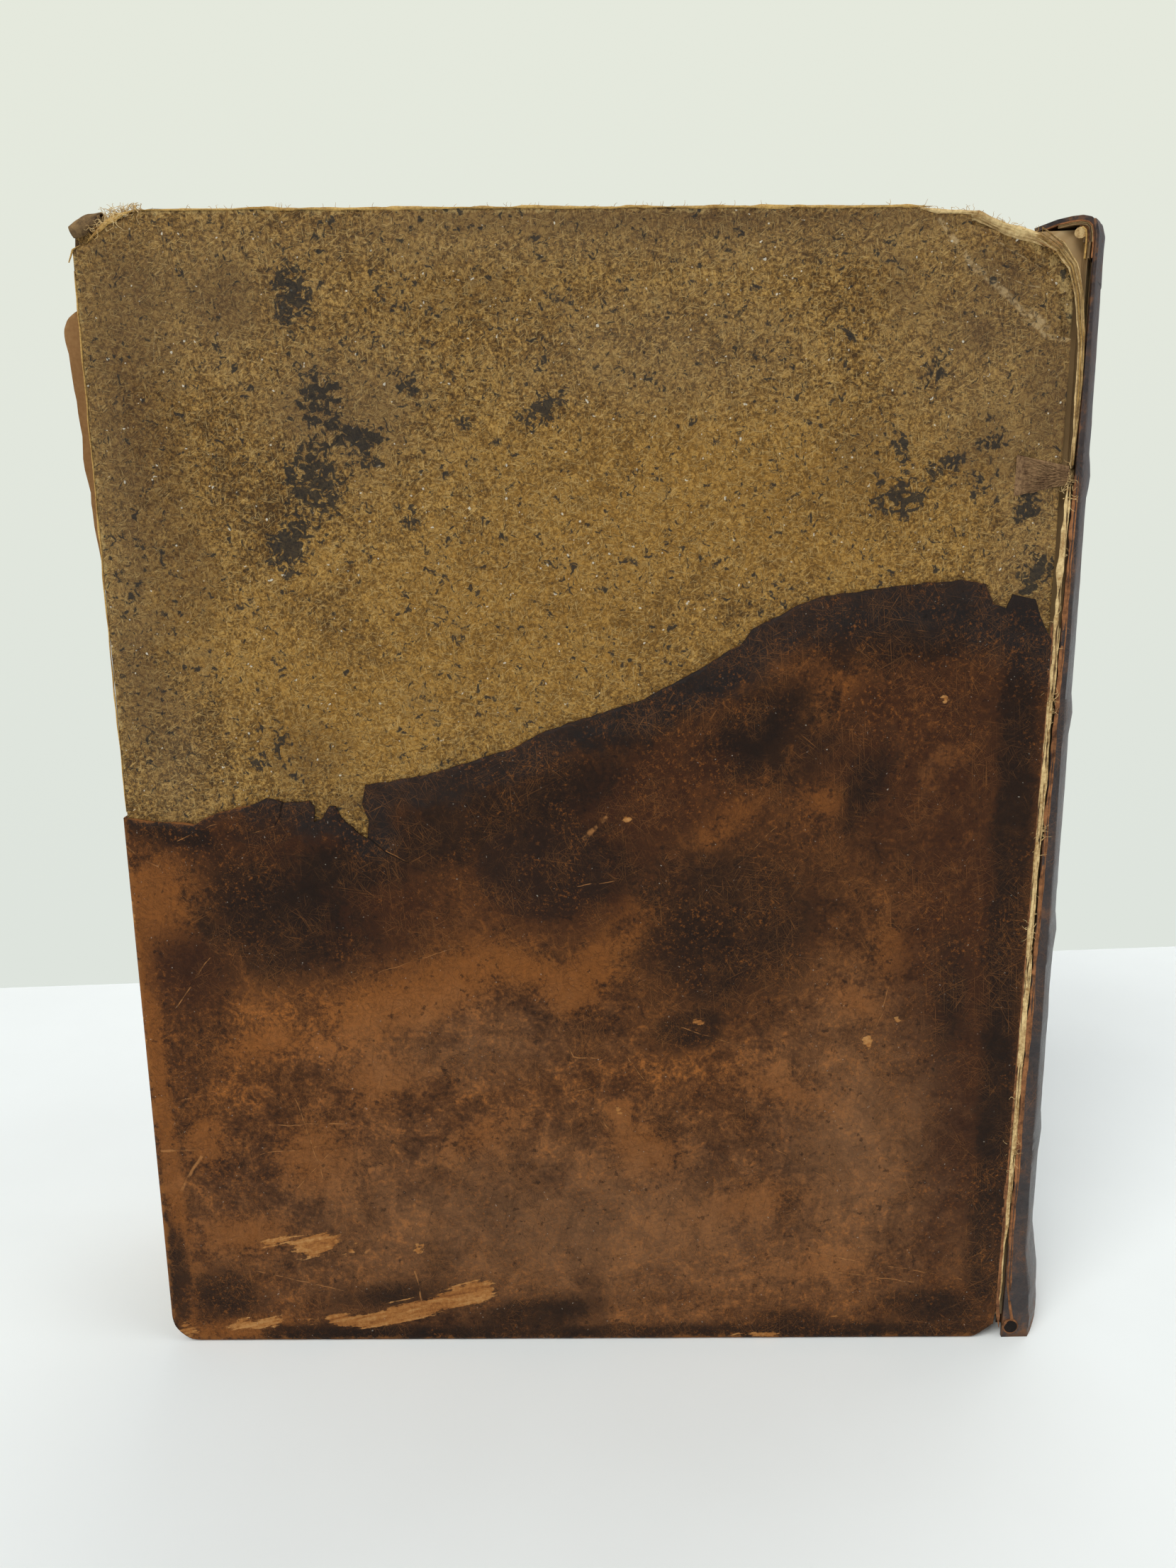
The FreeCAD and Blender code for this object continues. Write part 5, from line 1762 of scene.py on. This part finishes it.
@dataclass
class WornSpineHead:
    """The lower board's worn corner at the spine: plies in steps, and the fanned cord slip."""

    EDGE: ClassVar[tuple[Point, ...]] = (
        (91.6, 272.6), (96.2, 270.0), (99.3, 266.4), (101.1, 260.8), (102.5, 252), (103.1, 243),
        (103.2, 224)
    )
    TOP: ClassVar[tuple[Point, ...]] = (
        (66, 279.0), (70.5, 278.1), (79, 277.8), (83, 275.9), (88, 274.3), (92.6, 273.0),
        (95.6, 271.4)
    )
    seed: int = 31

    def build(self, shades: Shades) -> None:
        """Makes and dresses the corner's pieces."""
        pale = [
            Ribbon(self.EDGE, -30.5, 0.24, 0.2, 0.1, 0.2, 1),
            Ribbon(self.EDGE[1:], -30.95, 0.2, 0.2, 1.15, 0.3, 3)
        ]
        pale += [
            Ribbon(self.EDGE[:5], -31.0, 0.2, 0.2, 2.1, 0.5, 5),
            Ribbon(self.TOP, -30.4, 0.36, 0.3, 0, 1, 6)
        ]
        for k in range(3):
            pale.append(Ribbon(self.TOP, -30.0 + 0.5 * k, 0.5, 0.45, -0.3 - 0.45 * k, 1, 11 + k))
        ribbons("pale_plies", pale, Body.LOWER, shades.cream)
        straw = [
            Ribbon(self.EDGE, -30.8, 0.22, 0.2, 0.65, 0.3, 2),
            Ribbon(self.EDGE[1:6], -31.0, 0.2, 0.2, 1.65, 0.4, 4)
        ]
        ribbons("straw_plies", straw, Body.LOWER, shades.straw)
        brown = [
            Ribbon(self.EDGE, -30.95, 0.13, 0.2, 0.38, 0.3, 7),
            Ribbon(self.EDGE, -31.0, 0.14, 0.2, 0.92, 0.3, 8)
        ]
        brown += [
            Ribbon(self.EDGE[1:], -31.05, 0.13, 0.2, 1.42, 0.3, 9),
            Ribbon(self.EDGE[:6], -31.05, 0.14, 0.2, 1.9, 0.4, 10)
        ]
        ribbons("brown_plies", brown, Body.LOWER, shades.ply)
        draw = random.Random(self.seed)
        tufts = along(self.TOP, 60, (-30.6, -29.6), draw) + along(
            self.EDGE[:4], 40, (-31.0, -30.6), draw
        )
        strands(
            "ply_fibres", tangle(draw, tufts, 0.4, Vector((0.3, 0, 0.5)), 0.6, 5), 0.065 * MM,
            Body.LOWER, shades.straw
        )
        self.slip(draw, shades)

    def slip(self, draw: random.Random, shades: Shades) -> None:
        """The threads of the cord slip that lies bare, fanned over the board."""
        paths = []
        for i in range(17):
            share = i / 16
            path = []
            for step in range(9):
                along_slip = step / 8
                x = 103.2 - 10.6 * along_slip
                fan = (share - 0.5) * (1.8 + 6.6 * along_slip)
                z = 222.8 + fan + 0.35 * math.sin(step * 1.9 + i * 2.1) + draw.gauss(0, 0.1)
                path.append(Vector((x, -30.52 - 0.06 * (i % 3), z)) * MM)
            paths.append(path)
        strands("slip_threads", paths, 0.17 * MM, Body.LOWER, shades.slip)


class Studio:
    """The pale floor, the backdrop, the lamps and the camera."""

    FLOOR: Rgb = (242, 246, 243)
    WALL: Rgb = (229, 233, 221)
    CAMERA_AT = Vector((-5.1, -303.7, 216.2)) * MM
    CAMERA_TURN = (0.05, 76.85, -0.3)  # about up, about across, and about its own axis, in degrees

    def sheet(self, name: str, size: float, turn: Matrix) -> bpy.types.Object:
        """One flat square sheet of the studio."""
        bm = bmesh.new()
        bmesh.ops.create_grid(bm, x_segments=1, y_segments=1, size=size)
        bmesh.ops.transform(bm, matrix=turn, verts=bm.verts)
        mesh = bpy.data.meshes.new(name)
        bm.to_mesh(mesh)
        bm.free()
        return placed(name, mesh)

    def build(self) -> None:
        """Sets all of it up."""
        self.camera()
        self.floor()
        self.backdrop()
        self.world()
        self.lamp("key", (-0.45, -0.7, 0.95), 32, 1.75)
        self.lamp("fill", (0.9, -0.25, 0.6), 40, 0.55)
        self.lamp("back", (0.35, 0.7, 1.1), 50, 0.62)

    def camera(self) -> None:
        """The camera as the photograph's view gives it."""
        data = bpy.data.cameras.new("camera")
        data.lens = 27.03
        data.sensor_width = 36
        data.clip_start = 0.01
        camera = placed("camera", data)
        about_up, across, roll = (
            Matrix.Rotation(math.radians(turn), 4, axis) for turn, axis in zip(
                self.CAMERA_TURN, "ZXZ"
            )
        )
        camera.matrix_world = Matrix.Translation(self.CAMERA_AT) @ about_up @ across @ roll
        bpy.context.scene.camera = camera

    def floor(self) -> None:
        """A pale floor with faint clouds in it."""
        floor = self.sheet("floor", 4, Matrix.Identity(4))
        n = Nodes("pale_floor")
        cloud = n.noise(120, 4, 0.5)
        colour = n.blend(n.step(cloud, 0.4, 0.7, 0.16), self.FLOOR, (222, 224, 220))
        floor.data.materials.append(n.close(colour, 0.9, cloud, 0.01, 0.1))
        self.fade(n)

    def fade(self, n: Nodes) -> None:
        """Lets the far floor run into the wall's colour for the camera."""
        far = n.add("ShaderNodeVectorMath", operation="LENGTH")
        n.feed(far.inputs[0], n.coords)
        seen = n.add("ShaderNodeLightPath").outputs["Is Camera Ray"]
        share = n.math("MULTIPLY", n.step(far.outputs["Value"], 0.7, 2.0), seen)
        glow = n.add("ShaderNodeEmission")
        glow.inputs["Color"].default_value = tone(self.WALL)
        mix = n.add("ShaderNodeMixShader")
        kinds = {node.bl_idname: node for node in n.tree.nodes}
        n.feed(mix.inputs[0], share)
        n.feed(mix.inputs[1], kinds["ShaderNodeBsdfPrincipled"].outputs["BSDF"])
        n.feed(mix.inputs[2], glow.outputs[0])
        n.feed(kinds["ShaderNodeOutputMaterial"].inputs["Surface"], mix.outputs[0])

    def backdrop(self) -> None:
        """A pale wall behind the book that only the camera sees, and only from in front."""
        turn = Matrix.Rotation(math.radians(4.6), 4, "Z") @ Matrix.Rotation(
            math.radians(90), 4, "X"
        )
        wall = self.sheet("backdrop", 3, Matrix.Translation((0, 0.232, 0)) @ turn)
        n = Nodes("pale_wall")
        split = n.add("ShaderNodeSeparateXYZ")
        n.feed(split.inputs[0], n.coords)
        # The wall glows a little darker towards the floor: painted shade.
        up = n.step(split.outputs["Z"], 0.0, 0.45)
        glow = n.add("ShaderNodeEmission")
        n.feed(glow.inputs["Color"], n.blend(up, (222, 228, 221), self.WALL))
        clear = n.add("ShaderNodeBsdfTransparent")
        facing = n.add("ShaderNodeNewGeometry").outputs["Backfacing"]
        mix = n.add("ShaderNodeMixShader")
        n.feed(mix.inputs[0], facing)
        n.feed(mix.inputs[1], glow.outputs[0])
        n.feed(mix.inputs[2], clear.outputs[0])
        out = n.add("ShaderNodeOutputMaterial")
        n.feed(out.inputs["Surface"], mix.outputs[0])
        wall.data.materials.append(n.material)
        wall.visible_diffuse = wall.visible_glossy = False
        wall.visible_shadow = wall.visible_transmission = False

    def world(self) -> None:
        """Soft light from all round, and the pale wall's colour for the camera."""
        world = bpy.data.worlds.new("room")
        world.use_nodes = True
        bpy.context.scene.world = world
        tree = world.node_tree
        tree.nodes.clear()
        light, seen = tree.nodes.new("ShaderNodeBackground"), tree.nodes.new("ShaderNodeBackground")
        light.inputs["Color"].default_value = (0.93, 0.96, 1.0, 1)
        light.inputs["Strength"].default_value = 0.42
        seen.inputs["Color"].default_value = tone(self.WALL)
        rays = tree.nodes.new("ShaderNodeLightPath")
        mix, out = tree.nodes.new("ShaderNodeMixShader"), tree.nodes.new("ShaderNodeOutputWorld")
        tree.links.new(rays.outputs["Is Camera Ray"], mix.inputs[0])
        tree.links.new(light.outputs[0], mix.inputs[1])
        tree.links.new(seen.outputs[0], mix.inputs[2])
        tree.links.new(mix.outputs[0], out.inputs["Surface"])
        bpy.context.scene.view_settings.view_transform = "Standard"

    def lamp(self, name: str, at: Sequence[float], soft: float, strength: float) -> None:
        """A soft, far lamp that lights the floor evenly.

        Args:
            name: its name.
            at: the direction that it shines from.
            soft: the angle that it spans, in degrees.
            strength: its strength.
        """
        data = bpy.data.lights.new(name, "SUN")
        data.angle = math.radians(soft)
        data.energy = strength
        lamp = placed(name, data)
        lamp.location = at
        lamp.rotation_mode = "QUATERNION"
        lamp.rotation_quaternion = Vector(at).to_track_quat("Z", "Y")


def main() -> None:
    """Builds the studio and the book's parts in order."""
    logging.basicConfig(level=logging.INFO, format="%(message)s")
    Studio().build()
    shades = Shades()
    parts = (
        PageBlock(),
        CoverBoard("lower", Body.LOWER),
        CoverBoard("upper", Body.UPPER),
        LowerLeather(),
        UpperLeather(),
        Spine(),
        Joint(),
        TornForeHead(),
        WornSpineHead(),
    )
    for part in parts:
        part.build(shades)
        log.info("%s is in place", type(part).__name__)


if __name__ == "__main__":
    main()
